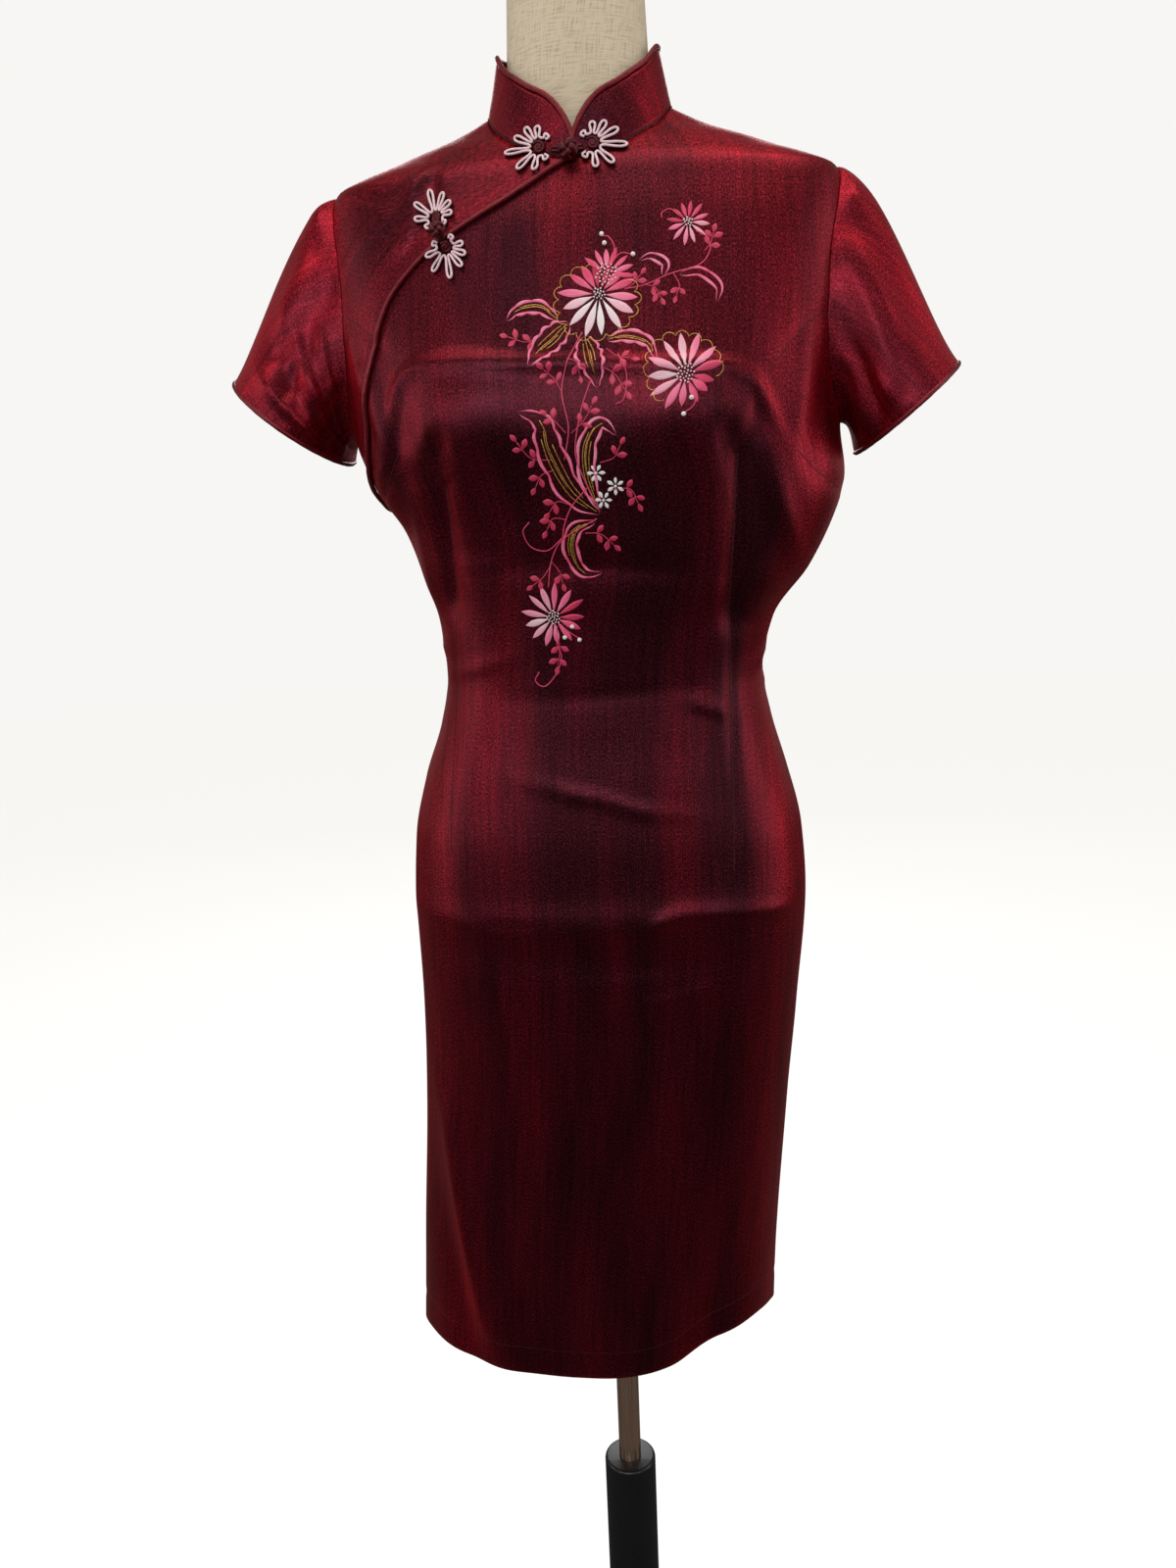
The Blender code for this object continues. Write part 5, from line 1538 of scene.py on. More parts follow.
def make_leaves(thread, gold):
    """Leaves with lobed stitched borders, open in the middle, and gold veins inside."""
    work, veins = bmesh.new(), bmesh.new()
    for number, (veined, half_width, lobes, midline) in enumerate(LEAVES):
        flat, aside, t = leaf_frame(midline)
        run = lengths_along(flat)
        wide = half_width * MM * np.sin(math.pi * t ** LEAF_FULLEST) ** LEAF_POINT
        full = stitch_fullness(t)
        s = np.linspace(0.0, 1.0, BAND_ACROSS)[None, :]
        for way in (-1.0, 1.0):
            lobe = np.abs(np.sin(math.pi * lobes * t + 0.5 * way + number))
            outer = wide * (1.0 - LEAF_LOBE * (1.0 - lobe))
            band = LEAF_BAND * (LEAF_BAND_NARROW + LEAF_BAND_SWELL * lobe)
            band = np.minimum(band, LEAF_BAND_MOST * outer) * full
            across = way * (outer[:, None] - band[:, None] * s)
            places = flat[:, None] + aside[:, None] * across[..., None]
            crown = 1.0 - (2.0 * s - 1.0) ** 4
            lift = STITCH_CROWN * crown * full[:, None] - STITCH_SINK
            tone = LEAF_TONE + LEAF_LOBE_PALER * lobe[:, None] + 0.0 * s
            tone = tone + LEAF_TONE_UNEVEN * math.sin(3.0 * number)
            if way < 0.0:
                places, lift, tone = places[:, ::-1], lift[:, ::-1], tone[:, ::-1]
            slanting = run[:, None] + LEAF_STITCH_SLANT * way * across
            stitch_patch(work, places, lift, slanting, LEAF_STITCH_SPREAD * across, tone)
        if veined:
            inside = np.maximum(wide - LEAF_BAND, LEAF_OPEN_LEAST * wide)
            strands = LEAF_VEINS if half_width > WIDE_LEAF else LEAF_VEINS[1:3]
            for offset, start, end in strands:
                picked = slice(int(start * len(flat)), int(end * len(flat)), VEIN_EVERY)
                sway = offset + VEIN_SWAY * np.sin(VEIN_SWAY_WAVE * t[picked] + number)
                stops = flat[picked] + aside[picked] * (sway * inside[picked])[:, None]
                thread_line(veins, stops / MM, GOLD_RADIUS, steps=VEIN_STEPS)
    finish_stitches("stitched_leaves", work, thread)
    finish_stitches("gold_veins", veins, gold)


def make_scallops(gold):
    work = bmesh.new()
    for x, height, half_width, half_height, lobes, start, sweep in SCALLOPS:
        share = np.arange(lobes * SCALLOP_STEPS + 1) / (lobes * SCALLOP_STEPS)
        angle = math.radians(start) + math.radians(sweep) * share
        bump = np.abs(np.sin(math.pi * lobes * share))
        reach = 1.0 - SCALLOP_DEPTH + SCALLOP_DEPTH * bump ** SCALLOP_ROUND
        wobble = 1.0 + SCALLOP_WOBBLE * np.sin(3.0 * angle + 1.0)
        stops = np.stack(
            [
                x + half_width * reach * wobble * np.cos(angle),
                height + half_height * reach * wobble * np.sin(angle),
            ],
            axis=-1,
        )
        thread_line(work, stops, GOLD_RADIUS, steps=1)
    finish_stitches("gold_scallops", work, gold)


def make_stems(thread):
    work = bmesh.new()
    for stops in STEMS:
        thread_line(work, stops, STEM_RADIUS, tone=STEM_TONE)
    for line, pairs, length in SPRIGS:
        thread_line(work, line, SPRIG_RADIUS, tone=SPRIG_TONE)
        flat = through(line, SPRIG_STEPS) * MM
        along = unit(np.gradient(flat, axis=0))
        for k in range(pairs):
            at = int((k + FIRST_PAIR) / (pairs + PAST_LAST_PAIR) * (len(flat) - 1))
            heading = math.atan2(along[at][1], along[at][0])
            lean = math.radians(LEAFLET_TURN + LEAFLET_TURN_UNEVEN * uneven(k + at))
            for way in (-1.0, 1.0):
                share = 1.0 + LEAFLET_SIZE_UNEVEN * uneven(k + at + way)
                size = LEAFLET_SIZE * length * share * MM
                add_leaflet(work, flat[at], heading + way * lean, size)
        heading = math.atan2(along[-1][1], along[-1][0])
        add_leaflet(work, flat[-1], heading, LEAFLET_END_SIZE * length * MM)
    finish_stitches("stitched_stems", work, thread)


def add_leaflet(work, root, direction, size):
    width = LEAFLET_WIDTH * size
    add_petal(work, root, direction, size, width, *LEAFLET_TONES, LEAFLET_FULLEST)


def make_blossoms(thread):
    work = bmesh.new()
    for number, (x, height) in enumerate(BLOSSOMS):
        for k in range(BLOSSOM_PETALS):
            direction = 2.0 * math.pi * k / BLOSSOM_PETALS + BLOSSOM_TURN * number
            root = (
                x * MM + BLOSSOM_HEART * math.cos(direction),
                height * MM + BLOSSOM_HEART * math.sin(direction),
            )
            share = BLOSSOM_PETAL_LENGTH + BLOSSOM_PETAL_UNEVEN * uneven(k + number)
            length = BLOSSOM_RADIUS * MM * share
            width = BLOSSOM_PETAL_WIDTH * length
            add_petal(work, root, direction, length, width, *BLOSSOM_TONES)
    finish_stitches("stitched_blossoms", work, thread)


def make_beads(glass):
    """Seed beads heaped in the flowers' hearts, and single ones at the ends of the fine stems."""
    work = bmesh.new()
    for x, height, radius, count in SEED_CLUSTERS:
        for k in range(count):
            reach = radius * math.sqrt((k + 0.3) / count)
            turn = GOLDEN_TURN * k
            px, pz = x + reach * math.cos(turn), height + reach * math.sin(turn)
            add_bead(work, px, pz, SEED_RADIUS * (1.0 + BEAD_UNEVEN * uneven(k)), 1)
    for x, height in BUDS:
        add_bead(work, x, height, BUD_RADIUS, 2)
    for x, height in BLOSSOMS:
        add_bead(work, x, height, BLOSSOM_BEAD, 1)
    finish_stitches("seed_beads", work, glass)


def add_bead(work, x, height, radius, subdivisions):
    place = on_front(x * MM, height * MM, BEAD_SEAT * radius + BEAD_LIFT)
    verts = bmesh.ops.create_icosphere(work, subdivisions=subdivisions, radius=radius)["verts"]
    bmesh.ops.translate(work, verts=verts, vec=Vector(place))


# Seams drawn as sunk threads

HEM_STITCH_RUNS = ((-178.0, -2.0), (2.0, 178.0))
HEM_STITCH_STEPS = 200
HEM_STITCH_FLAT = 0.6
SEAM_THREAD = 0.45 * MM
NECK_THREAD_TALL = 1.6
DART_STEPS = 16
DART_THREAD_SINK = 0.2 * DART_THREAD


def make_seam_lines(thread):
    """The stitched lines at the bottom of the darts, in the armholes and neck, and at the hem."""
    work = bmesh.new()
    for face, stops in DARTS:
        flat = through(stops, DART_STEPS)
        turn = turn_on_front(flat[:, 0], flat[:, 1])
        if face == "back":
            turn = -turn
        path = garment(turn, flat[:, 1], -DART_THREAD_SINK)
        up = surface_normal(turn, flat[:, 1])
        tube(work, path, up, DART_THREAD, DART_THREAD, THREAD_SIDES)
    finish_cord("dart_seams", work, thread, "bias_piping")
    joins = bmesh.new()
    for side in (1, -1):
        for forward in (True, False):
            turn, height = armhole(np.arange(ARMHOLE_ROWS + 1) / ARMHOLE_ROWS, side, forward)
            path = garment(turn, height, -SEAM_THREAD)
            up = surface_normal(turn, height)
            tube(joins, path, up, SEAM_THREAD, SEAM_THREAD, THREAD_SIDES)
    share = collar_share(np.arange(PIPING_STEPS + 1), PIPING_STEPS)
    path = collar_point(share, 0.0 * share, -0.5 * SEAM_THREAD)
    out = level_direction(collar_angle(share))
    tube(joins, path, out, SEAM_THREAD, NECK_THREAD_TALL * SEAM_THREAD, THREAD_SIDES)
    finish_cord("seam_threads", joins, thread, "bias_piping")
    hem = bmesh.new()
    for first, last in HEM_STITCH_RUNS:
        turn = np.radians(np.linspace(first, last, HEM_STITCH_STEPS))
        height = HEM_LINE["height"](np.degrees(turn)) + HEM_TURN_UP
        path = garment(turn, height)
        up = surface_normal(turn, height)
        tube(hem, path, up, HEM_STITCH, HEM_STITCH_FLAT * HEM_STITCH, THREAD_SIDES)
    finish_cord("hem_stitching", hem, thread, "bias_piping")


# Dress form and stand

FORM_BOTTOM = 0.790
FORM_NECK_WIDTH = 0.0530
FORM_NECK_DEPTH = 0.0455
FORM_NECK_CENTRE_Y = -0.0020
FORM_NECK_TAPER = 0.0030
FORM_NECK_TOP = 1.598
FORM_NECK_FROM = 1.500
FORM_AROUND = 120
FORM_ROWS = 150
FORM_ROUND = 6.0 * MM
FORM_BOTTOM_DRAW = 0.05
FORM_TOP_DRAW = 0.06
POLE_RADIUS = 0.0105
COLUMN_RADIUS = 0.0245
COLUMN_TOP = 0.353
FOOT_RADIUS = 0.190
FOOT_THICKNESS = 0.014
FOOT_BOSS_RADIUS = 0.040
FOOT_BOSS_TOP = 0.034
STAND_GAP = 0.3 * MM
COLUMN_BEVEL = 3.0 * MM
FOOT_BEVEL = 4.0 * MM
FOOT_BOSS_BEVEL = 2.5 * MM
FOOT_FILLET = 5.0 * MM
FOOT_FILLET_WIDTH = 8.0 * MM
FOOT_FILLET_HEIGHT = 1.5 * MM
SPIN_STEPS = 96
SHARP_ANGLE = math.radians(40.0)


def form_surface():
    """Level rings of the padded form; above the shoulders it becomes the neck."""
    height = np.linspace(FORM_BOTTOM, FORM_NECK_TOP, FORM_ROWS + 1)
    turn = 2.0 * math.pi * np.arange(FORM_AROUND + 1) / FORM_AROUND
    height, turn = np.broadcast_arrays(height[:, None], turn[None, :])
    taper = FORM_NECK_TAPER * smooth_step(height, FORM_NECK_FROM, FORM_NECK_TOP)
    neck_x = NECK_CENTRE_X + (FORM_NECK_WIDTH - taper) * np.cos(turn)
    neck_y = FORM_NECK_CENTRE_Y + (FORM_NECK_DEPTH - taper) * np.sin(turn)
    low = np.minimum(height, FORM_NECK_FROM)
    ease = FORM_SLACK["ease"](low)
    body = plain_surface(turn, low + ease, ease)
    outside = np.hypot(body[..., 0], body[..., 1]) > np.hypot(neck_x, neck_y)
    outside &= height < FORM_NECK_FROM
    x = np.where(outside, body[..., 0], neck_x)
    y = np.where(outside, body[..., 1], neck_y)
    near_bottom = np.clip((FORM_BOTTOM + FORM_ROUND - height) / FORM_ROUND, 0.0, 1.0)
    near_top = np.clip((height - FORM_NECK_TOP + FORM_ROUND) / FORM_ROUND, 0.0, 1.0)
    draw_in = 1.0 - FORM_BOTTOM_DRAW * near_bottom ** 2 - FORM_TOP_DRAW * near_top ** 2
    return np.stack([x * draw_in, y * draw_in, height], axis=-1)


def make_form(canvas):
    points = form_surface()
    points[:, -1] = points[:, 0]
    work = bmesh.new()
    lay_grid(work, points, arc_lengths(points, 1), points[..., 2], closed=True)
    rims = [edge for edge in work.edges if edge.is_boundary]
    caps = bmesh.ops.holes_fill(work, edges=rims, sides=0)["faces"]
    bmesh.ops.poke(work, faces=caps)
    finish_cord("canvas_form", work, canvas, "canvas", "dress_form")


def spun(name, profile, bevels, material, slot, node):
    """A turned piece: a chain of edges spun round the pole's axis, then bevelled."""
    work = bmesh.new()
    chain = [work.verts.new((radius, 0.0, height)) for radius, height in profile]
    edges = [work.edges.new(pair) for pair in zip(chain, chain[1:])]
    bmesh.ops.spin(
        work, geom=chain + edges, axis=(0, 0, 1), cent=(0, 0, 0), angle=2.0 * math.pi,
        steps=SPIN_STEPS, use_merge=True,
    )
    bmesh.ops.remove_doubles(work, verts=work.verts, dist=MERGE)
    bmesh.ops.recalc_face_normals(work, faces=work.faces)
    for height, radius, width in bevels:
        ring = [
            edge for edge in work.edges
            if all(abs(v.co.z - height) < MERGE for v in edge.verts)
            and all(abs(v.co.xy.length - radius) < 10.0 * MERGE for v in edge.verts)
        ]
        bmesh.ops.bevel(
            work, geom=ring, offset=width, segments=3, profile=0.5, affect="EDGES", material=-1,
        )
    made = to_object(name, work)
    made.data.set_sharp_from_angle(angle=SHARP_ANGLE)
    join_body(made, material, slot, node)


def make_stand(chrome, enamel):
    top, foot = FORM_BOTTOM + RAISE - STAND_GAP, COLUMN_TOP + STAND_GAP
    spun(
        "bright_tube",
        ((0.0, top), (POLE_RADIUS, top), (POLE_RADIUS, foot), (0.0, foot)),
        (), chrome, "pole", "pole",
    )
    foot = FOOT_BOSS_TOP + STAND_GAP
    spun(
        "black_column",
        ((0.0, COLUMN_TOP), (COLUMN_RADIUS, COLUMN_TOP), (COLUMN_RADIUS, foot), (0.0, foot)),
        ((COLUMN_TOP, COLUMN_RADIUS, COLUMN_BEVEL),), enamel, "stand_black", "column",
    )
    spun(
        "black_foot",
        (
            (0.0, FOOT_BOSS_TOP),
            (FOOT_BOSS_RADIUS, FOOT_BOSS_TOP),
            (FOOT_BOSS_RADIUS, FOOT_THICKNESS + FOOT_FILLET),
            (FOOT_BOSS_RADIUS + FOOT_FILLET_WIDTH, FOOT_THICKNESS + FOOT_FILLET_HEIGHT),
            (FOOT_RADIUS, FOOT_THICKNESS),
            (FOOT_RADIUS, 0.0),
            (0.0, 0.0),
        ),
        (
            (FOOT_BOSS_TOP, FOOT_BOSS_RADIUS, FOOT_BOSS_BEVEL),
            (FOOT_THICKNESS, FOOT_RADIUS, FOOT_BEVEL),
        ),
        enamel, "stand_black", "foot",
    )


# Materials


def colour(code):
    """An sRGB hex colour as linear values."""
    parts = [int(code[k:k + 2], 16) / 255.0 for k in (1, 3, 5)]
    linear = [p / 12.92 if p <= 0.04045 else ((p + 0.055) / 1.055) ** 2.4 for p in parts]
    return (*linear, 1.0)


def add_node(material, kind, links=(), **settings):
    """Adds one node: settings name its properties or inputs, links are (input, source) pairs."""
    tree = material.node_tree
    node = tree.nodes.new(kind)
    for name, value in settings.items():
        if hasattr(node, name):
            setattr(node, name, value)
        else:
            node.inputs[name.replace("_", " ")].default_value = value
    for target, source in links:
        tree.links.new(source, node.inputs[target])
    return node


def new_material(name, **shader_settings):
    material = bpy.data.materials.new(name)
    material.use_nodes = True
    shader = material.node_tree.nodes["Principled BSDF"]
    for socket, value in shader_settings.items():
        shader.inputs[socket.replace("_", " ")].default_value = value
    return material, shader


def link(material, source, shader, socket):
    material.node_tree.links.new(source, shader.inputs[socket])


def ramp(material, source, stops):
    node = add_node(material, "ShaderNodeValToRGB", links=((0, source),))
    elements = node.color_ramp.elements
    while len(elements) < len(stops):
        elements.new(1.0)
    for element, (place, value) in zip(elements, stops):
        element.position = place
        element.color = value
    return node


def tint_by(material, shader, source, *stops):
    """Base colour from a grey source, through stops of (place, colour code)."""
    base = ramp(material, source, [(place, colour(code)) for place, code in stops])
    link(material, base.outputs[0], shader, "Base Color")


def bump_by(material, shader, source, strength, height_mm):
    bump = add_node(
        material, "ShaderNodeBump", links=(("Height", source),),
        Strength=strength, Distance=height_mm * MM,
    )
    link(material, bump.outputs[0], shader, "Normal")


def coordinates(material, kind):
    return add_node(material, "ShaderNodeTexCoord").outputs[kind]


def per_metre(spacing_mm):
    """Noise scale whose grain is about this many millimetres."""
    return 1000.0 / spacing_mm


def even_noise(material, vector, scale):
    noise = add_node(material, "ShaderNodeTexNoise", links=((0, vector),))
    noise.inputs["Scale"].default_value = scale
    return noise.outputs[0]


def slanted_noise(material, slant, across_mm, along_mm):
    """Threads that run at a slant round a cord."""
    turned = add_node(
        material, "ShaderNodeMapping", links=((0, coordinates(material, "UV")),),
        Rotation=(0.0, 0.0, slant),
    )
    return stretched_noise(material, turned.outputs[0], across_mm, along_mm)


def stretched_noise(material, vector, across_mm, along_mm, detail=2.0, roughness=0.5):
    mapping = add_node(
        material, "ShaderNodeMapping", links=((0, vector),),
        Scale=(per_metre(across_mm), per_metre(along_mm), 1.0),
    )
    noise = add_node(material, "ShaderNodeTexNoise", links=((0, mapping.outputs[0]),))
    noise.inputs["Scale"].default_value = 1.0
    noise.inputs["Detail"].default_value = detail
    noise.inputs["Roughness"].default_value = roughness
    return noise.outputs["Fac"]


# Grain of the satin's bands, threads, weft, streaks and glitter: across and along, in millimetres
SATIN_BAND_MM = (46.0, 300.0)
SATIN_THREAD_MM = (0.9, 26.0)
SATIN_WEFT_MM = (14.0, 0.9)
SATIN_STREAK_MM = (3.6, 80.0)
SATIN_GLINT_MM = (1.1, 1.8)
NOISE_LOW = 0.28
NOISE_HIGH = 0.72


def scaled(material, source, low, high):
    """A grey source spread from low to high, as a plain number."""
    node = add_node(
        material, "ShaderNodeMapRange", links=(("Value", source),),
        From_Min=NOISE_LOW, From_Max=NOISE_HIGH, To_Min=low, To_Max=high,
    )
    return node.outputs[0]


def product(material, one, two):
    node = add_node(material, "ShaderNodeMath", links=((0, one), (1, two)), operation="MULTIPLY")
    return node.outputs[0]


def shot_satin(name, redder=0.0, brighter=1.0):
    """Shot satin, dark wine warp under a red weft with a metallic shine: wine face on, glowing red
    where it turns away, in soft lengthwise bands, with a fine glitter in its highlights.  The red
    where it turns away is partly the shot weave's own colour and partly painted sheen, brighter
    toward grazing.  The threads are really 0.1 mm apart; they are drawn nearly 1 mm apart so that
    they show.
    The sleeves take a redder, brighter copy: painted light, for the stronger light on the sleeves."""
    material, shader = new_material(name, Metallic=0.88, Anisotropic=0.25)
    cloth_map = coordinates(material, "UV")
    band = stretched_noise(material, cloth_map, *SATIN_BAND_MM, detail=1.5)
    thread = stretched_noise(material, cloth_map, *SATIN_THREAD_MM, detail=2.0, roughness=0.7)
    weft = stretched_noise(material, cloth_map, *SATIN_WEFT_MM, detail=1.0)
    streak = stretched_noise(material, cloth_map, *SATIN_STREAK_MM, detail=2.0, roughness=0.6)
    glint = stretched_noise(material, cloth_map, *SATIN_GLINT_MM, detail=2.0, roughness=0.7)
    facing = add_node(material, "ShaderNodeLayerWeight", Blend=0.40).outputs["Facing"]
    turned = add_node(
        material, "ShaderNodeMath", operation="ADD",
        links=((0, facing), (1, scaled(material, band, redder - 0.12, redder + 0.18))),
    )
    # Facing mix: wine face on, red turned away; partly the shot weave's own colour, partly painted
    # sheen toward grazing
    shot = ramp(material, turned.outputs[0], (
        (0.04, colour("#4A1420")),
        (0.32, colour("#761422")),
        (0.80, colour("#B81428")),
    ))
    # brighter lifts the whole colour; above 1 it is painted light, as on the sleeves
    strength = product(
        material, scaled(material, band, 0.82 * brighter, 1.14 * brighter),
        scaled(material, thread, 0.74, 1.26),
    )
    strength = product(material, strength, scaled(material, weft, 0.92, 1.08))
    strength = product(material, strength, scaled(material, streak, 0.74, 1.26))
    sparkle = scaled(material, glint, 0.38, 1.62)
    strength = product(material, strength, product(material, sparkle, sparkle))
    tinted = add_node(
        material, "ShaderNodeVectorMath", operation="SCALE",
        links=((0, shot.outputs[0]), (3, strength)),
    )
    link(material, tinted.outputs[0], shader, "Base Color")
    link(material, scaled(material, glint, 0.30, 0.46), shader, "Roughness")
    bump_by(material, shader, glint, 1.0, 0.20)
    return material


def satin_bias(name, dark, light):
    """The same satin cut on the bias and rolled: fine slanting threads, softer shine."""
    material, shader = new_material(name, Metallic=0.45, Roughness=0.40)
    thread = slanted_noise(material, 0.8, 0.5, 6.0)
    tint_by(material, shader, thread, (0.30, dark), (0.70, light))
    bump_by(material, shader, thread, 0.5, 0.15)
    return material


def dark_thread():
    """Wine polyester sewing thread, twisted: matt, nearly lost in the seam."""
    material, shader = new_material("wine_sewing_thread", Roughness=0.85)
    twist = even_noise(material, coordinates(material, "Object"), per_metre(0.7))
    tint_by(material, shader, twist, (0.35, "#2A060E"), (0.65, "#4E0F1A"))
    return material


def silk_cord():
    """Pale pink covered silk cord: tight slanting wraps with a mild sheen."""
    material, shader = new_material("pale_pink_silk_cord", Roughness=0.45, Sheen_Weight=0.25)
    wrap = slanted_noise(material, 0.9, 0.35, 4.0)
    tint_by(material, shader, wrap, (0.30, "#E9B2BF"), (0.65, "#FFEAEE"))
    bump_by(material, shader, wrap, 0.6, 0.15)
    return material


def cotton_canvas():
    """Cream cotton canvas, stretched smooth: a fine plain weave with a few thick threads."""
    material, shader = new_material("cream_cotton_canvas", Roughness=0.85, Sheen_Weight=0.15)
    cloth_map = coordinates(material, "UV")
    weft = stretched_noise(material, cloth_map, 14.0, 0.9)
    warp = stretched_noise(material, cloth_map, 0.9, 14.0)
    weave = add_node(material, "ShaderNodeMath", links=((0, weft), (1, warp)), operation="ADD")
    tint_by(material, shader, weave.outputs[0], (0.80, "#CAB99C"), (1.20, "#E6D6BA"))
    bump_by(material, shader, weave.outputs[0], 0.4, 0.2)
    return material


def rayon_thread():
    """Lustrous rayon embroidery thread in satin stitch: long fine strands side by side, shaded from
    deep rose to nearly white by each stitch's own tone.  Strands are drawn 0.45 mm apart."""
    material, shader = new_material(
        "rose_rayon_thread", Roughness=0.42, Anisotropic=0.3, Sheen_Weight=0.15,
    )
    strand = stretched_noise(material, coordinates(material, "UV"), 0.45, 9.0, detail=1.0)
    tone = add_node(material, "ShaderNodeAttribute", attribute_name="tone").outputs["Fac"]
    shift = add_node(
        material, "ShaderNodeMath", operation="ADD",
        links=((0, tone), (1, scaled(material, strand, -0.07, 0.07))),
    )
    tint_by(
        material, shader, shift.outputs[0],
        (0.20, "#B41C40"), (0.38, "#EA3E6C"), (0.55, "#FF7CA4"), (0.78, "#FFC0D0"),
        (0.98, "#FFFFFF"),
    )
    bump_by(material, shader, strand, 0.7, 0.2)
    return material


def gold_thread():
    """Couched gold thread: a bright metallised strip wound round a core, so it glitters."""
    material, shader = new_material("gold_metallic_thread", Metallic=0.6, Roughness=0.34)
    wind = even_noise(material, coordinates(material, "Object"), per_metre(0.8))
    tint_by(material, shader, wind, (0.35, "#9C6C26"), (0.62, "#F2C668"))
    return material


def seed_bead():
    """Opaque white glass seed beads, fire polished: bright with a small hard glint."""
    material, shader = new_material("white_glass_beads", Roughness=0.30, IOR=1.5)
    cloud = even_noise(material, coordinates(material, "Object"), per_metre(2.5))
    tint_by(material, shader, cloud, (0.35, "#FBE9EC"), (0.60, "#FFFFFF"))
    return material


def bright_tube():
    """Chromium-plated steel tube, drawn lengthwise, with faint rubbed streaks.  Its warm copper
    tint is a painted reflection of a warm room.
    """
    material, shader = new_material("chromed_steel_tube", Metallic=1.0)
    drawn = add_node(
        material, "ShaderNodeMapping", links=((0, coordinates(material, "Object")),),
        Scale=(900.0, 900.0, 12.0),
    )
    streak = even_noise(material, drawn.outputs[0], 1.0)
    # Warm copper tint: painted reflection of warm surroundings, not the chrome's own colour
    tint_by(material, shader, streak, (0.30, "#E2B296"), (0.70, "#FFDCC4"))
    rub = ramp(material, streak, (
        (0.30, (0.20, 0.20, 0.20, 1.0)),
        (0.70, (0.32, 0.32, 0.32, 1.0)),
    ))
    link(material, rub.outputs[0], shader, "Roughness")
    return material


def black_enamel():
    """Satin black baked enamel: a faint orange peel and small scuffs that catch the light."""
    material, shader = new_material("black_enamel", Roughness=0.42, Coat_Weight=0.15)
    peel = even_noise(material, coordinates(material, "Object"), per_metre(3.0))
    tint_by(material, shader, peel, (0.35, "#08090B"), (0.75, "#101216"))
    bump_by(material, shader, peel, 0.15, 0.2)
    return material


# Camera, floor and light

CAMERA_FOCUS = 1300.0 / 1600.0
CAMERA_SENSOR = 36.0
CAMERA_TURN = math.radians(6.5)
CAMERA_PITCH = math.radians(14.0)
CAMERA_ROLL = math.radians(2.3)
CAMERA_DISTANCE = 1.05
CAMERA_ASIDE = 0.015
CAMERA_HEIGHT = 1.291


def make_camera():
    """The photograph was taken close, from chest height, looking down at the dress."""
    right = Vector((math.cos(CAMERA_TURN), math.sin(CAMERA_TURN), 0.0))
    level = Vector((-math.sin(CAMERA_TURN), math.cos(CAMERA_TURN), 0.0))
    up = Vector((0.0, 0.0, 1.0))
    forward = level * math.cos(CAMERA_PITCH) - up * math.sin(CAMERA_PITCH)
    above = level * math.sin(CAMERA_PITCH) + up * math.cos(CAMERA_PITCH)
    place = up * CAMERA_HEIGHT - level * CAMERA_DISTANCE - right * CAMERA_ASIDE
    picture_right = right * math.cos(CAMERA_ROLL) - above * math.sin(CAMERA_ROLL)
    picture_up = right * math.sin(CAMERA_ROLL) + above * math.cos(CAMERA_ROLL)
    lens = bpy.data.cameras.new("camera")
    lens.sensor_width = CAMERA_SENSOR
    lens.lens = CAMERA_SENSOR * CAMERA_FOCUS
    lens.clip_start = 0.01
    camera = bpy.data.objects.new("camera", lens)
    camera.matrix_world = Matrix.Translation(place) @ Matrix(
        (picture_right, picture_up, -forward)
    ).transposed().to_4x4()
    bpy.context.scene.collection.objects.link(camera)
    bpy.context.scene.camera = camera


FLOOR_RADIUS = 7.0
FLOOR_SEGMENTS = 96
# Lamps: name, place, width and height, watts, tint
LIGHTS = (
    ("ceiling_panel", (0.10, -0.35, 3.00), (2.4, 0.7), 15.5, "#FFF8EE"),
    ("front_fill", (-0.30, -3.20, 2.60), (2.0, 1.2), 32.0, "#FFFFFF"),
    ("window_right", (2.60, -0.10, 1.60), (1.0, 2.4), 15.0, "#FFFFFF"),
    ("window_left", (-2.60, -0.40, 1.55), (0.8, 2.2), 11.5, "#FFFFFF"),
    ("corner_right", (1.90, -2.30, 1.90), (0.45, 1.3), 7.0, "#FFFFFF"),
    ("corner_left", (-1.90, -2.20, 1.70), (0.40, 1.2), 8.5, "#FFFFFF"),
    ("back_panel_light", (-0.30, 2.60, 2.20), (1.8, 1.4), 30.0, "#FFFFFF"),
)
LIGHT_AIM = Vector((0.0, 0.0, 1.10))
WORLD_STRENGTH = 0.22
ROOM_COLOUR = "#E9E6E2"
PAGE_COLOUR = "#F7F6F4"
FLOOR_DROP = 0.5 * MM
FLOOR_GLOW = 0.935


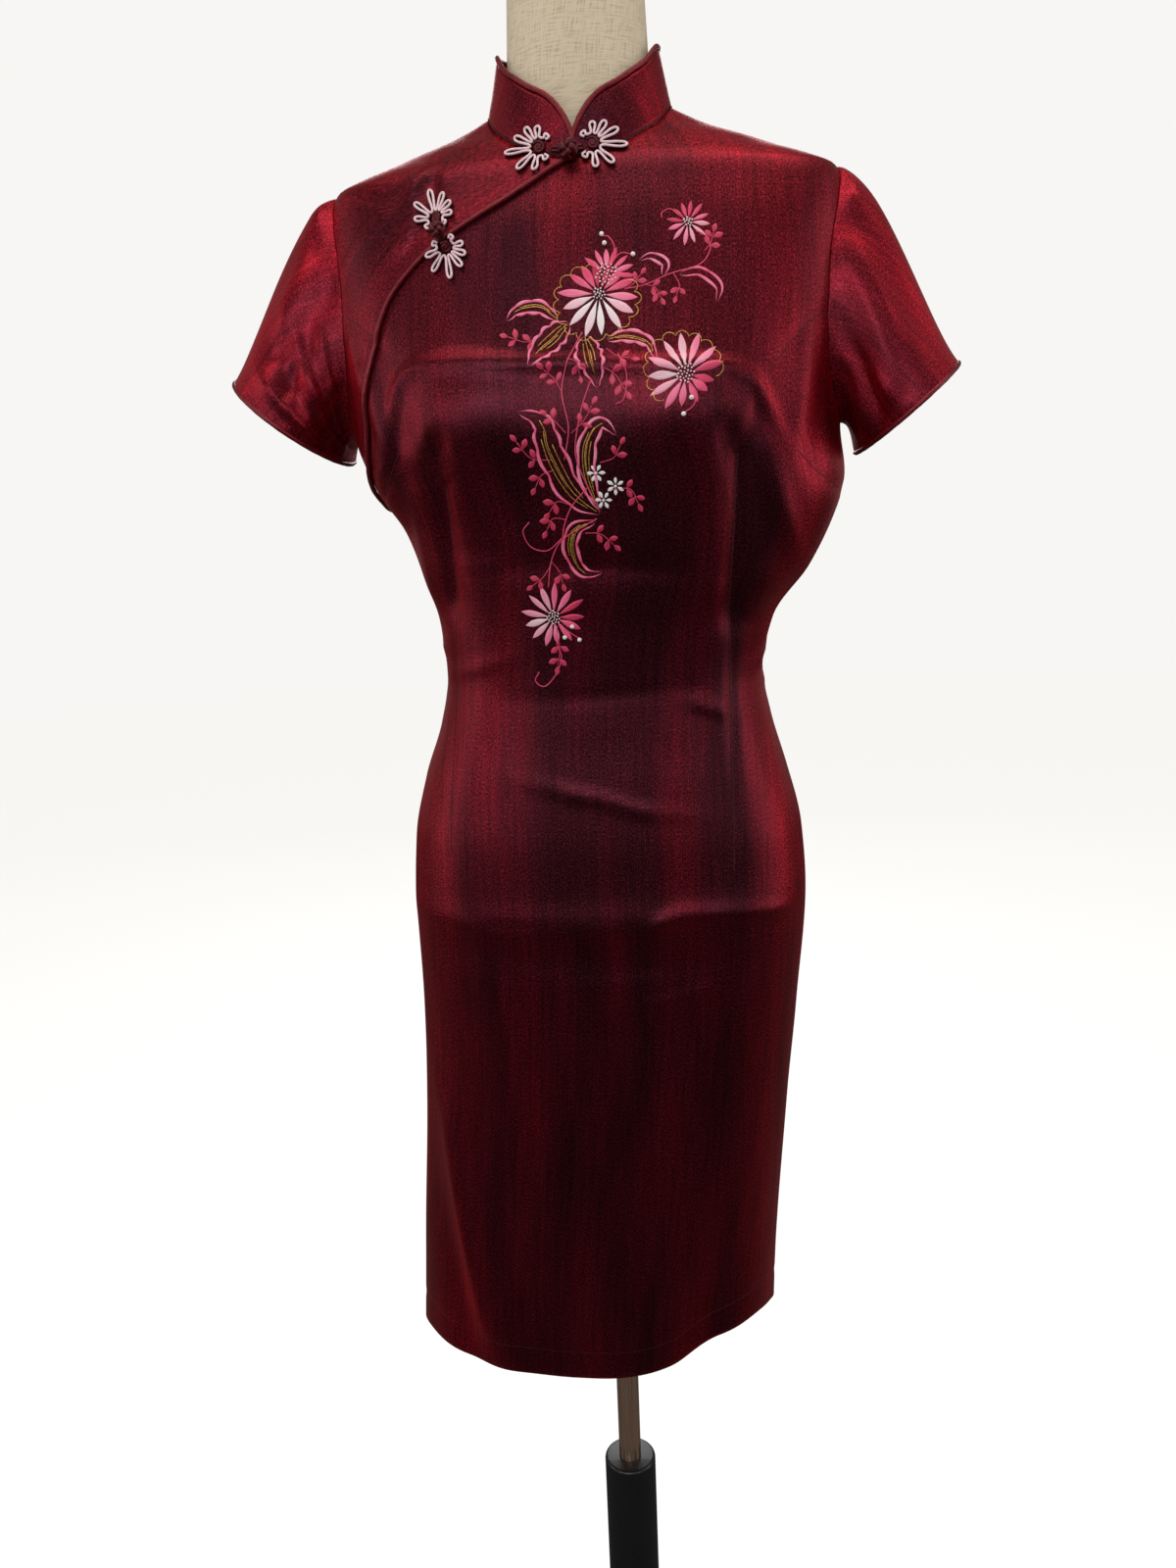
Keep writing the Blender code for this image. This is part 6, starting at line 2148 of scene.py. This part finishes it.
def make_lights():
    for name, place, size, power, tint in LIGHTS:
        lamp = bpy.data.lights.new(name, "AREA")
        lamp.shape = "RECTANGLE"
        lamp.size, lamp.size_y = size
        lamp.energy = power
        lamp.color = colour(tint)[:3]
        made = bpy.data.objects.new(name, lamp)
        made.location = place
        made.rotation_euler = (LIGHT_AIM - Vector(place)).to_track_quat("-Z", "Y").to_euler()
        bpy.context.scene.collection.objects.link(made)

    world = bpy.data.worlds.new("studio")
    world.use_nodes = True
    tree = world.node_tree
    room = tree.nodes["Background"]
    room.inputs["Color"].default_value = colour(ROOM_COLOUR)
    room.inputs["Strength"].default_value = WORLD_STRENGTH
    page = tree.nodes.new("ShaderNodeBackground")
    page.inputs["Color"].default_value = colour(PAGE_COLOUR)
    page.inputs["Strength"].default_value = 1.0
    seen = tree.nodes.new("ShaderNodeLightPath")
    choose = tree.nodes.new("ShaderNodeMixShader")
    tree.links.new(seen.outputs["Is Camera Ray"], choose.inputs[0])
    tree.links.new(room.outputs[0], choose.inputs[1])
    tree.links.new(page.outputs[0], choose.inputs[2])
    tree.links.new(choose.outputs[0], tree.nodes["World Output"].inputs["Surface"])
    bpy.context.scene.world = world
    bpy.context.scene.view_settings.view_transform = "Standard"


def make_floor():
    """A plain pale studio floor, as bright as the page to the eye but dim in reflections."""
    work = bmesh.new()
    bmesh.ops.create_circle(
        work, cap_ends=True, segments=FLOOR_SEGMENTS, radius=FLOOR_RADIUS,
    )
    bmesh.ops.translate(work, verts=work.verts, vec=(0.0, 0.0, -FLOOR_DROP))
    floor = to_object("studio_floor", work, smooth=False)
    material, shader = new_material(
        "pale_painted_floor", Roughness=0.7, Base_Color=colour("#8A8885"),
        Emission_Color=colour(PAGE_COLOUR), Emission_Strength=FLOOR_GLOW,
    )
    dim = add_node(material, "ShaderNodeBsdfDiffuse", Color=colour("#5A5855"))
    seen = add_node(material, "ShaderNodeLightPath")
    choose = add_node(
        material, "ShaderNodeMixShader",
        links=((0, seen.outputs["Is Camera Ray"]), (1, dim.outputs[0]), (2, shader.outputs[0])),
    )
    output = material.node_tree.nodes["Material Output"]
    material.node_tree.links.new(choose.outputs[0], output.inputs["Surface"])
    floor.data.materials.append(material)


def main():
    make_camera()
    satin, silk = shot_satin("dark_red_shot_satin"), silk_cord()
    # The sleeves' satin is a redder, brighter copy: painted light, for the stronger light that the
    # sleeves catch
    sleeve_painted_light_satin = shot_satin("red_shot_satin_sleeve_painted_light", redder=0.18, brighter=1.14)
    bias = satin_bias("dark_red_satin_bias", "#520C18", "#96202E")
    knotted = satin_bias("wine_satin_bias", "#34060E", "#6C121E")
    make_panels(satin)
    make_sleeve("sleeve_right", 1, sleeve_painted_light_satin)
    make_sleeve("sleeve_left", -1, sleeve_painted_light_satin)
    make_collar(satin)
    make_collar_piping(bias)
    make_placket_piping(bias)
    make_cuff_piping("cuff_piping_right", 1, bias)
    make_cuff_piping("cuff_piping_left", -1, bias)
    for row in FROGS:
        make_frog(row, knotted, silk)
    for row in KNOTS:
        make_knot(row, knotted)
    for name, knot_name, frog_names in BUTTON_LOOPS:
        make_button_loops(name, knot_name, frog_names, knotted)
    thread, gold = rayon_thread(), gold_thread()
    for row in FLOWERS:
        make_flower(row, thread)
    make_leaves(thread, gold)
    make_scallops(gold)
    make_stems(thread)
    make_blossoms(thread)
    make_beads(seed_bead())
    make_seam_lines(dark_thread())
    make_form(cotton_canvas())
    make_stand(bright_tube(), black_enamel())
    make_floor()
    make_lights()


main()
